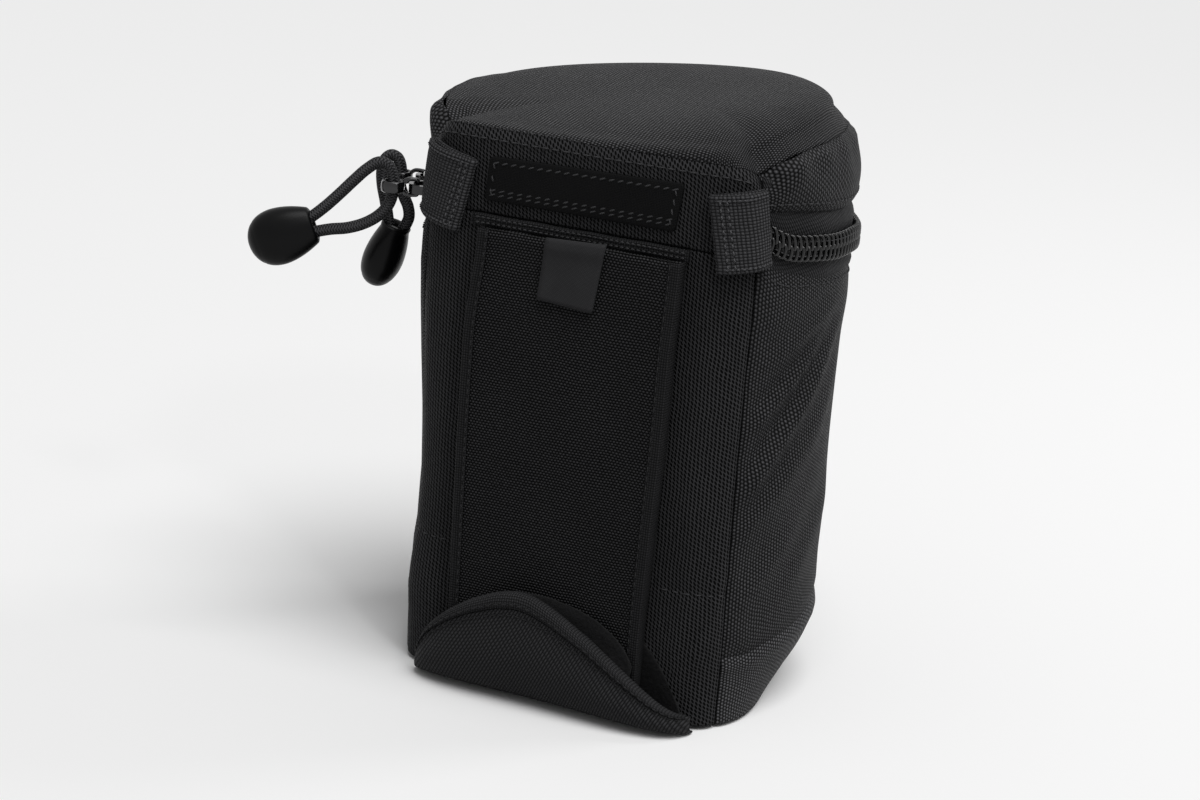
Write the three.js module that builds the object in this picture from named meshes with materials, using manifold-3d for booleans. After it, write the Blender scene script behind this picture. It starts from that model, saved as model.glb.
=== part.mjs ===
// Padded lens pouch: a D-shaped case with a zipped, hinged lid, a belt tab that tucks behind
// a bottom flap, two webbing loops and two cord pulls. Millimetres, +Z up. The flat belt panel
// faces -Y, the round side faces +Y, and the origin is on the floor, midway from front to back.

import * as THREE from 'three';
import { mergeVertices } from 'three/addons/utils/BufferGeometryUtils.js';
import Module from 'manifold-3d';

const wasm = await Module();
wasm.setup();

// Driving dimensions of the case

const bodyRadius = 55.6;        // outer face of the round side, about the case axis
const panelDistance = 37.2;     // case axis to the outer face of the flat belt panel
const cornerRadius = 14.2;      // roll of the two upright corners
const zipHeight = 128.7;        // floor to the middle of the zip
const lidHeight = 21.5;         // middle of the zip to the seam round the lid's top
const crownRise = 11.2;         // seam to the highest point of the lid
const bootHeight = 22.5;        // top seam of the base boot
const bootInset = 10;           // how far the boot draws in at the floor on the round side
const clearance = 0.3;          // gap between pieces that are sewn or pressed together

// Layers of the wall, from the outside in

const skin = 1;                 // woven outer fabric
const tapeThickness = 0.8;      // zip tape
const sliderPlate = 0.8;        // inner plate of a zip slider
const foamThickness = 3.6;      // padding at the zip, where it is thinnest
const liningThickness = 0.8;    // brushed lining
const padThickness = 4;         // padding under the floor
const basePanelThickness = 1.8; // bottom fabric that the case stands on

const tapeInset = skin + clearance;
const plateInset = tapeInset + tapeThickness + clearance;
const slimInset = plateInset + sliderPlate + clearance;
const foamInner = slimInset + foamThickness;
const liningInset = foamInner + clearance;
const cavityInset = liningInset + liningThickness;

// Zip

const toothPitch = 2.2;         // one loop of the coil
const coilWidth = 2.9;          // one half of the chain, across the zip
const coilRise = 2.4;           // coil crest above the tape
const coilValley = 1.1;         // coil valley above the tape
const coilSlit = 1.2;           // room between the halves for the sliders' posts
const tapeEdge = 0.7;           // tape edge held back under the coil
const tapeReach = 14.8;         // middle of the zip to the sewn edge of a tape
const wrapBelowZip = 6.8;       // middle of the zip to the top edge of the side wrap
const wallAboveZip = 9.3;       // middle of the zip to the lower edge of the lid's wall

// Fold lines of the mouth

const hingeDrop = 0.7;          // middle of the zip down to the lid's hinge line
const bindingHeight = 1.4;      // bias binding round the mouth and the lid
const bindingBevel = 0.5;
const bindingGap = 0.8;         // middle of the zip to the edge of a binding
const recess = 15.2;            // middle of the zip to the step in the padding

const lidSeamHeight = zipHeight + lidHeight;
const hingeHeight = zipHeight - hingeDrop;
const mouthHeight = hingeHeight - clearance;
const lidBottom = hingeHeight + clearance;
const recessLow = zipHeight - recess;
const recessHigh = zipHeight + recess;

// Where things stand in plan

const axisY = (panelDistance - bodyRadius) / 2;
const panelY = axisY - panelDistance;
const filletX = Math.sqrt((bodyRadius - cornerRadius) ** 2 - (panelDistance - cornerRadius) ** 2);
const filletY = panelY + cornerRadius;
const cornerAngle = Math.atan2(filletY - axisY, filletX);
const seamGap = clearance / bodyRadius;

// Counts of facets

const diagonalBias = 1e-4;
const filletSteps = 5;
const arcSteps = 34;
const bootEaseShare = 0.17;     // share of the round side over which the boot's inset grows

// Colours and finishes

const fabric = (color, roughness) => new THREE.MeshStandardMaterial({ color, roughness, metalness: 0 });
const finish = {
  ballistic: fabric(0x26262a, 0.85),
  mesh: fabric(0x18181a, 0.9),
  webbing: fabric(0x2c2c2f, 0.8),
  smooth: fabric(0x212124, 0.7),
  lining: fabric(0x3a3a3d, 0.95),
  foam: fabric(0x4a4a4c, 1),
  tape: fabric(0x1b1b1d, 0.9),
  hook: fabric(0x111112, 1),
  label: fabric(0x0f0f10, 0.8),
  coil: new THREE.MeshStandardMaterial({ color: 0x1a1a1c, roughness: 0.3, metalness: 0 }),
  plastic: new THREE.MeshStandardMaterial({ color: 0x101011, roughness: 0.25, metalness: 0 }),
  metal: new THREE.MeshStandardMaterial({ color: 0x1c1c1e, roughness: 0.3, metalness: 0.9 }),
};

// Geometry helpers

const at = (x, y, z) => new THREE.Vector3(x, y, z);
const mix = (a, b, share) => a + (b - a) * share;

function newell(ring) {
  const normal = at(0, 0, 0);
  ring.forEach((p, i) => {
    const q = ring[(i + 1) % ring.length];
    normal.x += (p.y - q.y) * (p.z + q.z);
    normal.y += (p.z - q.z) * (p.x + q.x);
    normal.z += (p.x - q.x) * (p.y + q.y);
  });
  return normal.normalize();
}

// Triangles over a flat ring, facing along the ring's own turn when side is 1
function capFaces(ring, offset, side) {
  const normal = newell(ring);
  const across = ring[1].clone().sub(ring[0]).normalize();
  const up = normal.clone().cross(across);
  const flat = ring.map((p) => new THREE.Vector2(p.dot(across), p.dot(up)));
  return THREE.ShapeUtils.triangulateShape(flat, []).flatMap(([a, b, c]) => {
    const turn = (flat[b].x - flat[a].x) * (flat[c].y - flat[a].y)
      - (flat[b].y - flat[a].y) * (flat[c].x - flat[a].x);
    return turn * side > 0 ? [offset + a, offset + b, offset + c] : [offset + a, offset + c, offset + b];
  });
}

function volumeOf(positions, indices) {
  let total = 0;
  const [a, b, c] = [at(0, 0, 0), at(0, 0, 0), at(0, 0, 0)];
  for (let i = 0; i < indices.length; i += 3) {
    a.fromArray(positions, 3 * indices[i]);
    b.fromArray(positions, 3 * indices[i + 1]);
    c.fromArray(positions, 3 * indices[i + 2]);
    total += a.dot(b.cross(c)) / 6;
  }
  return total;
}

// Skin over rings with equal counts of points; loop joins the last ring to the first. Each
// quad is split along its shorter diagonal, so that nested skins are faceted alike
function loft(rings, loop = false) {
  const count = rings[0].length;
  const points = rings.flat();
  const positions = points.flatMap((p) => [p.x, p.y, p.z]);
  const indices = [];
  const spans = loop ? rings.length : rings.length - 1;
  for (let r = 0; r < spans; r++) {
    const here = r * count;
    const next = ((r + 1) % rings.length) * count;
    for (let i = 0; i < count; i++) {
      const j = (i + 1) % count;
      const [a, b, c, d] = [here + i, here + j, next + j, next + i];
      if (points[a].distanceTo(points[c]) < points[b].distanceTo(points[d]) - diagonalBias) {
        indices.push(a, b, c, a, c, d);
      } else {
        indices.push(a, b, d, b, c, d);
      }
    }
  }
  if (!loop) {
    indices.push(...capFaces(rings[0], 0, -1));
    indices.push(...capFaces(rings[rings.length - 1], (rings.length - 1) * count, 1));
  }
  if (volumeOf(positions, indices) < 0) {
    indices.reverse();
  }
  const geometry = new THREE.BufferGeometry();
  geometry.setAttribute('position', new THREE.Float32BufferAttribute(positions, 3));
  geometry.setIndex(indices);
  return geometry;
}

function toManifold(geometry) {
  const bare = geometry.clone();
  bare.deleteAttribute('normal');
  bare.deleteAttribute('uv');
  const merged = mergeVertices(bare, 1e-4);
  return new wasm.Manifold(new wasm.Mesh({
    numProp: 3,
    vertProperties: new Float32Array(merged.attributes.position.array),
    triVerts: new Uint32Array(merged.index.array),
  }));
}

function fromManifold(manifold) {
  const mesh = manifold.getMesh();
  const geometry = new THREE.BufferGeometry();
  geometry.setAttribute('position', new THREE.BufferAttribute(new Float32Array(mesh.vertProperties), 3));
  geometry.setIndex(new THREE.BufferAttribute(new Uint32Array(mesh.triVerts), 1));
  return geometry;
}

const join = (...geometries) => fromManifold(geometries.map(toManifold).reduce((all, one) => all.add(one)));

// Flat outline in X and Z, thickness towards +Y from the given face
function plateOnPanel(shape, face, thickness) {
  const geometry = new THREE.ExtrudeGeometry(shape, { depth: thickness, bevelEnabled: false, curveSegments: 10 });
  geometry.rotateX(Math.PI / 2);
  geometry.translate(0, face + thickness, 0);
  return geometry;
}

function rectangle(halfWidth, low, high) {
  const shape = new THREE.Shape();
  shape.moveTo(-halfWidth, low);
  shape.lineTo(halfWidth, low);
  shape.lineTo(halfWidth, high);
  shape.lineTo(-halfWidth, high);
  shape.closePath();
  return shape;
}

const boxBetween = (x0, x1, y0, y1, z0, z1) => new THREE.BoxGeometry(x1 - x0, y1 - y0, z1 - z0)
  .translate((x0 + x1) / 2, (y0 + y1) / 2, (z0 + z1) / 2);

// Scene graph

const pouch = new THREE.Group();

function piece(name, geometry, material, parent = pouch) {
  const mesh = new THREE.Mesh(geometry, material);
  mesh.name = name;
  parent.add(mesh);
  return mesh;
}

// Plan paths: each gives the same count of points at any inset from the outer face

function filletPoint(inset, angle) {
  const radius = cornerRadius - inset;
  return new THREE.Vector2(filletX + radius * Math.cos(angle), filletY + radius * Math.sin(angle));
}

function arcPoint(inset, angle) {
  const radius = bodyRadius - inset;
  return new THREE.Vector2(radius * Math.cos(angle), axisY + radius * Math.sin(angle));
}

const mirror = (point) => new THREE.Vector2(-point.x, point.y);
const squeezeAt = (z) => bootInset * Math.max(0, 1 - z / bootHeight);

function easeFromCorner(share) {
  const t = Math.min(1, Math.min(share, 1 - share) / bootEaseShare);
  return t * t * (3 - 2 * t);
}

// Half of the belt panel's face and its rolled corner, from the middle to the right seam
function rightFront(inset, gap) {
  const start = -Math.PI / 2;
  const end = cornerAngle - gap;
  const points = [];
  for (let i = 0; i <= filletSteps; i++) {
    points.push(filletPoint(inset, mix(start, end, i / filletSteps)));
  }
  return points;
}

function frontPath(inset) {
  const right = rightFront(inset, seamGap * bodyRadius / cornerRadius);
  return [...right.map(mirror).reverse(), ...right];
}

function sidePath(inset, z) {
  const start = cornerAngle + seamGap;
  const points = [];
  for (let i = 0; i <= arcSteps; i++) {
    const share = i / arcSteps;
    const squeeze = squeezeAt(z) * easeFromCorner(share);
    points.push(arcPoint(inset + squeeze, mix(start, Math.PI - start, share)));
  }
  return points;
}

function wholePath(inset, z) {
  const right = rightFront(inset, 0);
  const side = [];
  for (let i = 1; i < arcSteps; i++) {
    const share = i / arcSteps;
    const squeeze = squeezeAt(z) * easeFromCorner(share);
    side.push(arcPoint(inset + squeeze, mix(cornerAngle, Math.PI - cornerAngle, share)));
  }
  return [...right, ...side, ...right.map(mirror).reverse()];
}

// A section of [inset, height] corners carried along a plan path
function band(path, section, loop = false) {
  const runs = section.map(([inset, z]) => path(inset, z).map((p) => at(p.x, p.y, z)));
  const rings = runs[0].map((_, k) => runs.map((run) => run[k]));
  return loft(rings, loop);
}

const level = (inset, z, scale = 1) => wholePath(inset, z).map((p) => at(p.x * scale, p.y * scale, z));

// Body: skins, padding and lining

function sideWrap() {
  const top = zipHeight - wrapBelowZip;
  const low = bootHeight + clearance;
  return band(sidePath, [[0, low], [0, top], [skin, top], [skin, low]]);
}

// The belt panel is folded double into a hem where the lid hinges on it
function beltPanel() {
  const low = skin;
  const hem = slimInset - clearance;
  return band(frontPath, [
    [0, low], [0, mouthHeight], [hem, mouthHeight], [hem, recessLow], [skin, recessLow], [skin, low],
  ]);
}

function bodyFoam() {
  const low = basePanelThickness + clearance;
  const top = zipHeight - bindingGap - bindingHeight - 2 * clearance;
  const outer = skin + clearance;
  const step = recessLow - clearance;
  return band(wholePath, [
    [outer, low], [outer, bootHeight], [outer, step], [slimInset, step], [slimInset, top],
    [foamInner, top], [foamInner, bootHeight], [foamInner, low],
  ], true);
}

const padTop = basePanelThickness + clearance + padThickness;
const liningFloor = padTop + clearance;
const cavityFloor = liningFloor + liningThickness;

function bodyLining() {
  const top = zipHeight - bindingGap - bindingHeight - 2 * clearance;
  return loft([
    level(cavityInset, cavityFloor), level(cavityInset, bootHeight), level(cavityInset, top),
    level(liningInset, top), level(liningInset, bootHeight), level(liningInset, liningFloor),
  ]);
}

function basePad() {
  return loft([level(liningInset, basePanelThickness + clearance), level(liningInset, padTop)]);
}

function basePanel() {
  return loft([level(skin + clearance, 0), level(skin + clearance, basePanelThickness)]);
}

function baseBoot() {
  return band(sidePath, [[0, skin], [0, bootHeight], [skin, bootHeight], [skin, skin]]);
}

// Bias binding over a raw edge; turn is 1 above the edge and -1 below it
function binding(edge, turn) {
  const crest = edge + turn * bindingHeight;
  const shoulder = crest - turn * bindingBevel;
  const outer = slimInset;
  return band(wholePath, [
    [outer, edge], [outer, shoulder], [outer + bindingBevel, crest],
    [cavityInset - bindingBevel, crest], [cavityInset, shoulder], [cavityInset, edge],
  ], true);
}

piece('side_wrap', sideWrap(), finish.ballistic);
piece('belt_panel', beltPanel(), finish.mesh);
piece('body_padding', bodyFoam(), finish.foam);
piece('body_lining', bodyLining(), finish.lining);
piece('base_pad', basePad(), finish.foam);
piece('base_panel', basePanel(), finish.ballistic);
piece('base_boot', baseBoot(), finish.ballistic);
piece('mouth_binding', binding(zipHeight - bindingGap - bindingHeight, 1), finish.tape);

// Lid: crowned top, wall, front strip, padding and lining

const coverThickness = 0.9;
const crownPower = 6;           // higher is flatter on top and rounder at the rim
const crownShares = [1, 0.985, 0.95, 0.9, 0.8, 0.64, 0.42, 0.18];
const rimInset = 1.5;           // the top seam is drawn in from the wall
const rimHeight = lidSeamHeight + clearance;

// Rings of the crown, from the rim up; drop lowers the surface under the one above it
function crown(inset, drop) {
  return crownShares.map((share) => {
    const z = rimHeight + (crownRise - clearance) * (1 - share ** crownPower) - drop;
    return wholePath(inset, rimHeight).map((p) => at(p.x * share, p.y * share, z));
  });
}

function lidCover() {
  const outer = crown(rimInset, 0);
  const inner = crown(rimInset + coverThickness, coverThickness);
  inner[0].forEach((p) => { p.z = rimHeight; });
  return loft([...inner.reverse(), ...outer]);
}

const ceiling = rimHeight - coverThickness - clearance;
const liningCeiling = ceiling - liningThickness - clearance;

function lidPadding() {
  const low = zipHeight + bindingGap + bindingHeight + 2 * clearance;
  const step = recessHigh + clearance;
  const under = rimInset + coverThickness + clearance;
  return loft([
    level(foamInner, ceiling), level(foamInner, low), level(slimInset, low), level(slimInset, step),
    level(tapeInset, step), level(tapeInset + rimInset, ceiling),
    ...crown(under, coverThickness + clearance),
  ]);
}

function lidLining() {
  const low = zipHeight + bindingGap + bindingHeight + 2 * clearance;
  const top = ceiling - clearance;
  return loft([
    level(cavityInset, top - liningThickness), level(cavityInset, low),
    level(liningInset, low), level(liningInset, top),
  ]);
}

const wallBulge = 0.9;
function lidWall() {
  const low = zipHeight + wallAboveZip;
  const middle = mix(low, lidSeamHeight, 0.55);
  return band(sidePath, [
    [0, low], [-wallBulge, middle], [rimInset, lidSeamHeight],
    [rimInset + skin, lidSeamHeight], [skin - wallBulge, middle], [skin, low],
  ]);
}

function lidFront() {
  const hem = slimInset - clearance;
  return band(frontPath, [
    [0, lidBottom], [0, lidSeamHeight], [skin, lidSeamHeight], [skin, recessHigh],
    [hem, recessHigh], [hem, lidBottom],
  ]);
}

piece('lid_cover', lidCover(), finish.ballistic);
piece('lid_padding', lidPadding(), finish.foam);
piece('lid_lining', lidLining(), finish.lining);
piece('lid_wall', lidWall(), finish.ballistic);
piece('lid_front', lidFront(), finish.mesh);
piece('lid_binding', binding(zipHeight + bindingGap + bindingHeight, -1), finish.tape);

// Label patch, left bare

const labelMargin = 7.2;        // end of the label to where the corner starts to roll
const labelHeight = 12.3;
const labelRise = 8.8;          // middle of the zip to the middle of the label
const labelThickness = 0.7;
const labelCorner = 1.2;

function labelPatch() {
  const half = filletX - labelMargin;
  const middle = zipHeight + labelRise;
  const [low, high] = [middle - labelHeight / 2, middle + labelHeight / 2];
  const shape = new THREE.Shape();
  shape.moveTo(-half + labelCorner, low);
  shape.absarc(half - labelCorner, low + labelCorner, labelCorner, -Math.PI / 2, 0);
  shape.absarc(half - labelCorner, high - labelCorner, labelCorner, 0, Math.PI / 2);
  shape.absarc(-half + labelCorner, high - labelCorner, labelCorner, Math.PI / 2, Math.PI);
  shape.absarc(-half + labelCorner, low + labelCorner, labelCorner, Math.PI, 1.5 * Math.PI);
  const geometry = new THREE.ExtrudeGeometry(shape, {
    depth: labelThickness, bevelEnabled: false, curveSegments: 3,
  });
  geometry.rotateX(Math.PI / 2);
  geometry.translate(0, panelY - clearance, 0);
  return geometry;
}

piece('label_patch', labelPatch(), finish.label);

// Webbing loops, sewn into the upright corner seams and folded towards the front

const webbingWidth = 20;
const webbingThickness = 1.3;
const loopDrop = 1.3;           // the loops hang this far below the lid's edge
const loopFold = 4.4;           // outer radius of the round fold
const loopRootAngle = -0.63;    // where the two ends leave the corner seam
const loopEndAngle = -1.25;     // where the round fold starts
const loopSteps = 8;
const loopOpenShare = 0.55;     // share of the length over which the two layers part

const loopSeat = clearance + 0.1;   // the corner's seam stands a little proud

// Stations along the ribbon, each with its outer and its inner face
function loopStations() {
  const shares = Array.from({ length: loopSteps + 1 }, (_, i) => i / loopSteps);
  const angleAt = (share) => mix(loopRootAngle, loopEndAngle, share);
  const closed = 2 * webbingThickness + clearance / 3;
  const outerAt = (share) => {
    const t = Math.min(1, share / loopOpenShare);
    return loopSeat + mix(closed, 2 * loopFold, t * t * (3 - 2 * t));
  };
  const outerLayer = shares.map((share) => [
    filletPoint(-outerAt(share), angleAt(share)),
    filletPoint(webbingThickness - outerAt(share), angleAt(share)),
  ]);
  const innerLayer = shares.map((share) => [
    filletPoint(-loopSeat, angleAt(share)),
    filletPoint(-loopSeat - webbingThickness, angleAt(share)),
  ]);
  const centre = filletPoint(-loopSeat - loopFold, loopEndAngle);
  const fold = shares.slice(1, -1).map((share) => {
    const angle = loopEndAngle - Math.PI * share;
    const way = new THREE.Vector2(Math.cos(angle), Math.sin(angle));
    return [loopFold, loopFold - webbingThickness].map((radius) => (
      centre.clone().addScaledVector(way, radius)));
  });
  return [...outerLayer, ...fold, ...innerLayer.reverse()];
}

function webbingLoop(side) {
  const low = lidBottom - loopDrop;
  const high = low + webbingWidth;
  return loft(loopStations().map(([outer, inner]) => [
    at(side * outer.x, outer.y, low), at(side * outer.x, outer.y, high),
    at(side * inner.x, inner.y, high), at(side * inner.x, inner.y, low),
  ]));
}

piece('webbing_loop_right', webbingLoop(1), finish.webbing);
piece('webbing_loop_left', webbingLoop(-1), finish.webbing);

// Zip: tapes and coil halves, mirrored about the middle of the zip

function zipTape(turn) {
  const near = zipHeight + turn * (coilSlit / 2 + tapeEdge);
  const far = zipHeight + turn * tapeReach;
  const outer = tapeInset;
  const inner = tapeInset + tapeThickness;
  return band(sidePath, [[outer, near], [outer, far], [inner, far], [inner, near]]);
}

// Ribbed half of the chain: every second ring is a loop's crest, the others the valley between
function zipCoil(turn) {
  const foot = tapeInset - clearance;
  const near = zipHeight + turn * coilSlit / 2;
  const far = near + turn * coilWidth;
  const shoulder = turn * coilWidth / 5;
  const start = cornerAngle + 2 * seamGap;
  const sweep = Math.PI - 2 * start;
  const teeth = Math.round(sweep * bodyRadius / toothPitch);
  const rings = [];
  for (let i = 0; i <= 2 * teeth; i++) {
    const angle = start + sweep * i / (2 * teeth);
    const rise = i % 2 ? coilRise : coilValley;
    const tuck = i % 2 ? 0 : shoulder / 2;
    const corners = [
      [foot, near + tuck], [foot - rise, near + tuck + shoulder / 2],
      [foot - rise, far - tuck - shoulder], [foot, far - tuck],
    ];
    rings.push(corners.map(([inset, z]) => {
      const p = arcPoint(inset, angle);
      return at(p.x, p.y, z);
    }));
  }
  return loft(rings);
}

piece('lower_zip_tape', zipTape(-1), finish.tape);
piece('lower_zip_coil', zipCoil(-1), finish.coil);
piece('upper_zip_tape', zipTape(1), finish.tape);
piece('upper_zip_coil', zipCoil(1), finish.coil);

// Fold ridge, belt tab and size tag on the belt panel

const ridgeHeight = 2.4;
const ridgeThickness = 1.3;
const ridgeHalfWidth = 30.5;
const tabWidth = 58.4;
const tabEnd = 8;               // floor to the tab's lower end, tucked behind the flap
const tabSheet = 0.9;           // one layer of the tab's folded fabric
const stiffenerThickness = 0.8;
const tabStandOff = 1.5;        // belt panel to the tab's back
const edgeTape = 3.2;           // width of the tape bound over the tab's sides
const edgeTapeThickness = 0.4;
const hookThickness = 0.9;

const ridgeLow = mouthHeight - ridgeHeight;
const tabTop = ridgeLow - clearance;
const tabBack = panelY - tabStandOff;
const tabThickness = 2 * tabSheet + stiffenerThickness + 2 * clearance;
const tabFront = tabBack - tabThickness;
const tabHalf = tabWidth / 2;
const sheetHalf = tabHalf - edgeTapeThickness - clearance;

function foldRidge() {
  const face = panelY - clearance - ridgeThickness;
  return plateOnPanel(rectangle(ridgeHalfWidth, ridgeLow, mouthHeight), face, ridgeThickness);
}

// One sheet folded round the stiffener's lower end: a hairpin section, drawn across the tab
function beltTab() {
  const foldRadius = tabThickness / 2;
  const shape = new THREE.Shape();
  const inner = foldRadius - tabSheet;
  const foldHeight = tabEnd + foldRadius;
  const middle = (tabBack + tabFront) / 2;
  shape.moveTo(tabFront, tabTop);
  shape.lineTo(tabFront, foldHeight);
  shape.absarc(middle, foldHeight, foldRadius, Math.PI, 2 * Math.PI, false);
  shape.lineTo(tabBack, tabTop);
  shape.lineTo(tabBack - tabSheet, tabTop);
  shape.lineTo(tabBack - tabSheet, foldHeight);
  shape.absarc(middle, foldHeight, inner, 0, Math.PI, true);
  shape.lineTo(tabFront + tabSheet, tabTop);
  const geometry = new THREE.ExtrudeGeometry(shape, {
    depth: 2 * sheetHalf, bevelEnabled: false, curveSegments: 6,
  });
  geometry.applyMatrix4(new THREE.Matrix4().makeBasis(at(0, 1, 0), at(0, 0, 1), at(1, 0, 0)));
  geometry.translate(-sheetHalf, 0, 0);
  return geometry;
}

function tabStiffener() {
  const back = tabBack - tabSheet - clearance;
  const low = tabEnd + tabThickness / 2;
  return boxBetween(-sheetHalf, sheetHalf, back - stiffenerThickness, back, low, tabTop);
}

// Tape folded over one side of the tab: a U section drawn from the tab's end to its top
function tabEdge(side) {
  const [back, front] = [tabBack + clearance, tabFront - clearance];
  const [outerBack, outerFront] = [back + edgeTapeThickness, front - edgeTapeThickness];
  const edge = tabHalf;
  const lip = tabHalf - edgeTape;
  const section = [
    [lip, outerFront], [edge, outerFront], [edge, outerBack], [lip, outerBack],
    [lip, back], [edge - edgeTapeThickness, back], [edge - edgeTapeThickness, front], [lip, front],
  ];
  const low = tabEnd + tabThickness / 2;
  return loft([low, tabTop].map((z) => section.map(([x, y]) => at(side * x, y, z))));
}

const tagWidth = 17.2;
const tagLength = 17.6;
const tagThickness = 0.6;
function sizeTag() {
  const face = tabFront - clearance - tagThickness;
  return plateOnPanel(rectangle(tagWidth / 2, tabTop - tagLength, tabTop), face, tagThickness);
}

piece('fold_ridge', foldRidge(), finish.mesh);
piece('belt_tab', beltTab(), finish.ballistic);
piece('tab_stiffener', tabStiffener(), finish.plastic);
piece('tab_edge_right', tabEdge(1), finish.webbing);
piece('tab_edge_left', tabEdge(-1), finish.webbing);
piece('size_tag', sizeTag(), finish.smooth);

// Bottom flap: a half-moon that bellies forward, drawn as one profile scaled along the case

const flapHalfWidth = 41;
const flapReach = 13;           // how far the flap bellies forward
const flapHeight = 29.5;
const flapThickness = 2.1;
const flapRimLean = 11.4;       // hinge to the rim's outer face
const flapHingeOut = 0.6;       // belt panel to the flap's hinge line
const flapHingeHeight = 0.5;
const flapSteps = 16;
const flapEndShare = 0.985;
const flapBindingWrap = 1.8;
const flapBindingThickness = 0.9;
const hookRise = 1.8;           // how far the hook patch stands above the flap's rim
const hookEndShare = 0.62;      // its half width as a share of the flap's

const flapHingeY = panelY - flapHingeOut;
const flapSeat = flapHingeOut - clearance;

// Sections of a profile given as [forward, up] from the hinge line, scaled by a half ellipse
function flapLoft(profile, endShare = flapEndShare) {
  const rings = [];
  for (let i = 0; i <= flapSteps; i++) {
    const swing = Math.asin(endShare) * (2 * i / flapSteps - 1);
    const scale = Math.cos(swing);
    const x = flapHalfWidth * Math.sin(swing);
    rings.push(profile.map(([forward, up]) => (
      at(x, flapHingeY - forward * scale, flapHingeHeight + up * scale))));
  }
  return loft(rings);
}

// The flap's outer face, from the hinge round the belly to the rim
const flapFace = [
  [-flapSeat, 0], [flapReach * 0.5, 0], [flapReach * 0.82, flapHeight * 0.05],
  [flapReach * 0.97, flapHeight * 0.2], [flapReach, flapHeight * 0.48],
  [mix(flapReach, flapRimLean, 0.45), flapHeight * 0.76], [flapRimLean, flapHeight],
];

// The same line moved inwards by a depth, square to the face
function inwards(line, depth) {
  return line.map(([forward, up], i) => {
    const before = line[Math.max(0, i - 1)];
    const after = line[Math.min(line.length - 1, i + 1)];
    const run = new THREE.Vector2(after[0] - before[0], after[1] - before[1]).normalize();
    return [forward - run.y * depth, up + run.x * depth];
  });
}

const trimTop = (line, height) => line.map(([forward, up]) => [forward, Math.min(up, height)]);

function bottomFlap() {
  const inner = trimTop(inwards(flapFace, flapThickness), flapHeight);
  inner[0][0] = -flapSeat;
  return flapLoft([...flapFace, ...inner.reverse()]);
}

function flapBinding() {
  const rim = flapHeight;
  const low = rim - flapBindingWrap;
  const outerLow = mix(flapFace[5][0], flapFace[6][0], (low - flapFace[5][1]) / (rim - flapFace[5][1]));
  const outer = clearance + flapBindingThickness;
  const inside = flapThickness + clearance;
  const insideSkin = inside + flapBindingThickness;
  return flapLoft([
    [outerLow + outer, low], [flapRimLean + outer, rim + outer],
    [flapRimLean - insideSkin, rim + outer], [outerLow - insideSkin, low],
    [outerLow - inside, low], [flapRimLean - inside, rim + clearance],
    [flapRimLean + clearance, rim + clearance], [outerLow + clearance, low],
  ], 0.94);
}

// Hook patch inside the flap: it lies on the belly, passes the binding and stands above the rim
function flapHook() {
  const seat = flapThickness + clearance;
  const past = seat + flapBindingThickness + clearance;
  const crest = flapHeight + hookRise;
  const [low, belly, shoulder] = inwards(flapFace, seat).slice(3, 6);
  const face = [low, belly, [shoulder[0] - past + seat, shoulder[1]], [flapRimLean - past, crest]];
  const back = [
    ...inwards(flapFace, seat + hookThickness).slice(3, 5),
    [shoulder[0] - past + seat - hookThickness, shoulder[1]], [flapRimLean - past - hookThickness, crest],
  ];
  return flapLoft([...face, ...back.reverse()], hookEndShare);
}

// Loop patch on the belt panel, the flap's own outline
function landingPatch() {
  const shape = new THREE.Shape();
  const low = flapHingeHeight + flapThickness + 2 * clearance;
  const halfWidth = flapHalfWidth - flapThickness;
  const height = flapHeight - low;
  shape.moveTo(-halfWidth, low);
  shape.lineTo(halfWidth, low);
  shape.absellipse(0, low, halfWidth, height, 0, Math.PI, false, 0);
  const thickness = tabStandOff - 2 * clearance - edgeTapeThickness;
  return plateOnPanel(shape, panelY - clearance - thickness, thickness);
}

piece('bottom_flap', bottomFlap(), finish.smooth);
piece('flap_binding', flapBinding(), finish.webbing);
piece('flap_hook_patch', flapHook(), finish.hook);
piece('landing_patch', landingPatch(), finish.hook);

// Zip sliders, built at angle 0 about the case axis: X is radial, Y runs along the zip

const sliderLength = 10.4;
const sliderWidth = 8.8;
const sliderTail = 7.4;         // width at the narrow end
const outerPlate = 0.9;
const sliderGap = 0.5;          // coil crest to the outer plate, so the lid's half slides out
const sliderPost = 0.6;
const postLength = 3;
const bridgeLength = 8;
const bridgeRise = 3.8;
const bridgeWall = 1.2;
const bridgeWidth = 2.4;
const sliderStop = 2.8;         // front slider to the end of the zip
const sliderSpacing = 10.9;     // from the one slider's middle to the other's

const frontSliderAngle = Math.PI - cornerAngle - (sliderLength / 2 + sliderStop) / bodyRadius;
const rearSliderAngle = frontSliderAngle - sliderSpacing / bodyRadius;

const coilCrest = bodyRadius - tapeInset + clearance + coilRise;
const outerFaceIn = coilCrest + sliderGap;
const outerFaceOut = outerFaceIn + outerPlate;
const innerFaceOut = bodyRadius - plateInset;
const innerFaceIn = innerFaceOut - sliderPlate;

function sliderShell(radiusIn, radiusOut, nose) {
  const steps = 6;
  const half = sliderLength / 2 / bodyRadius;
  const rings = [];
  for (let i = 0; i <= steps; i++) {
    const share = i / steps;
    const angle = mix(-half, half, share);
    const halfWidth = mix(sliderTail, sliderWidth, Math.sin(Math.PI / 2 * (nose > 0 ? share : 1 - share))) / 2;
    rings.push([[radiusIn, -1], [radiusOut, -1], [radiusOut, 1], [radiusIn, 1]].map(([radius, side]) => (
      at(radius * Math.cos(angle), radius * Math.sin(angle), zipHeight + side * halfWidth))));
  }
  return loft(rings);
}

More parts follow.
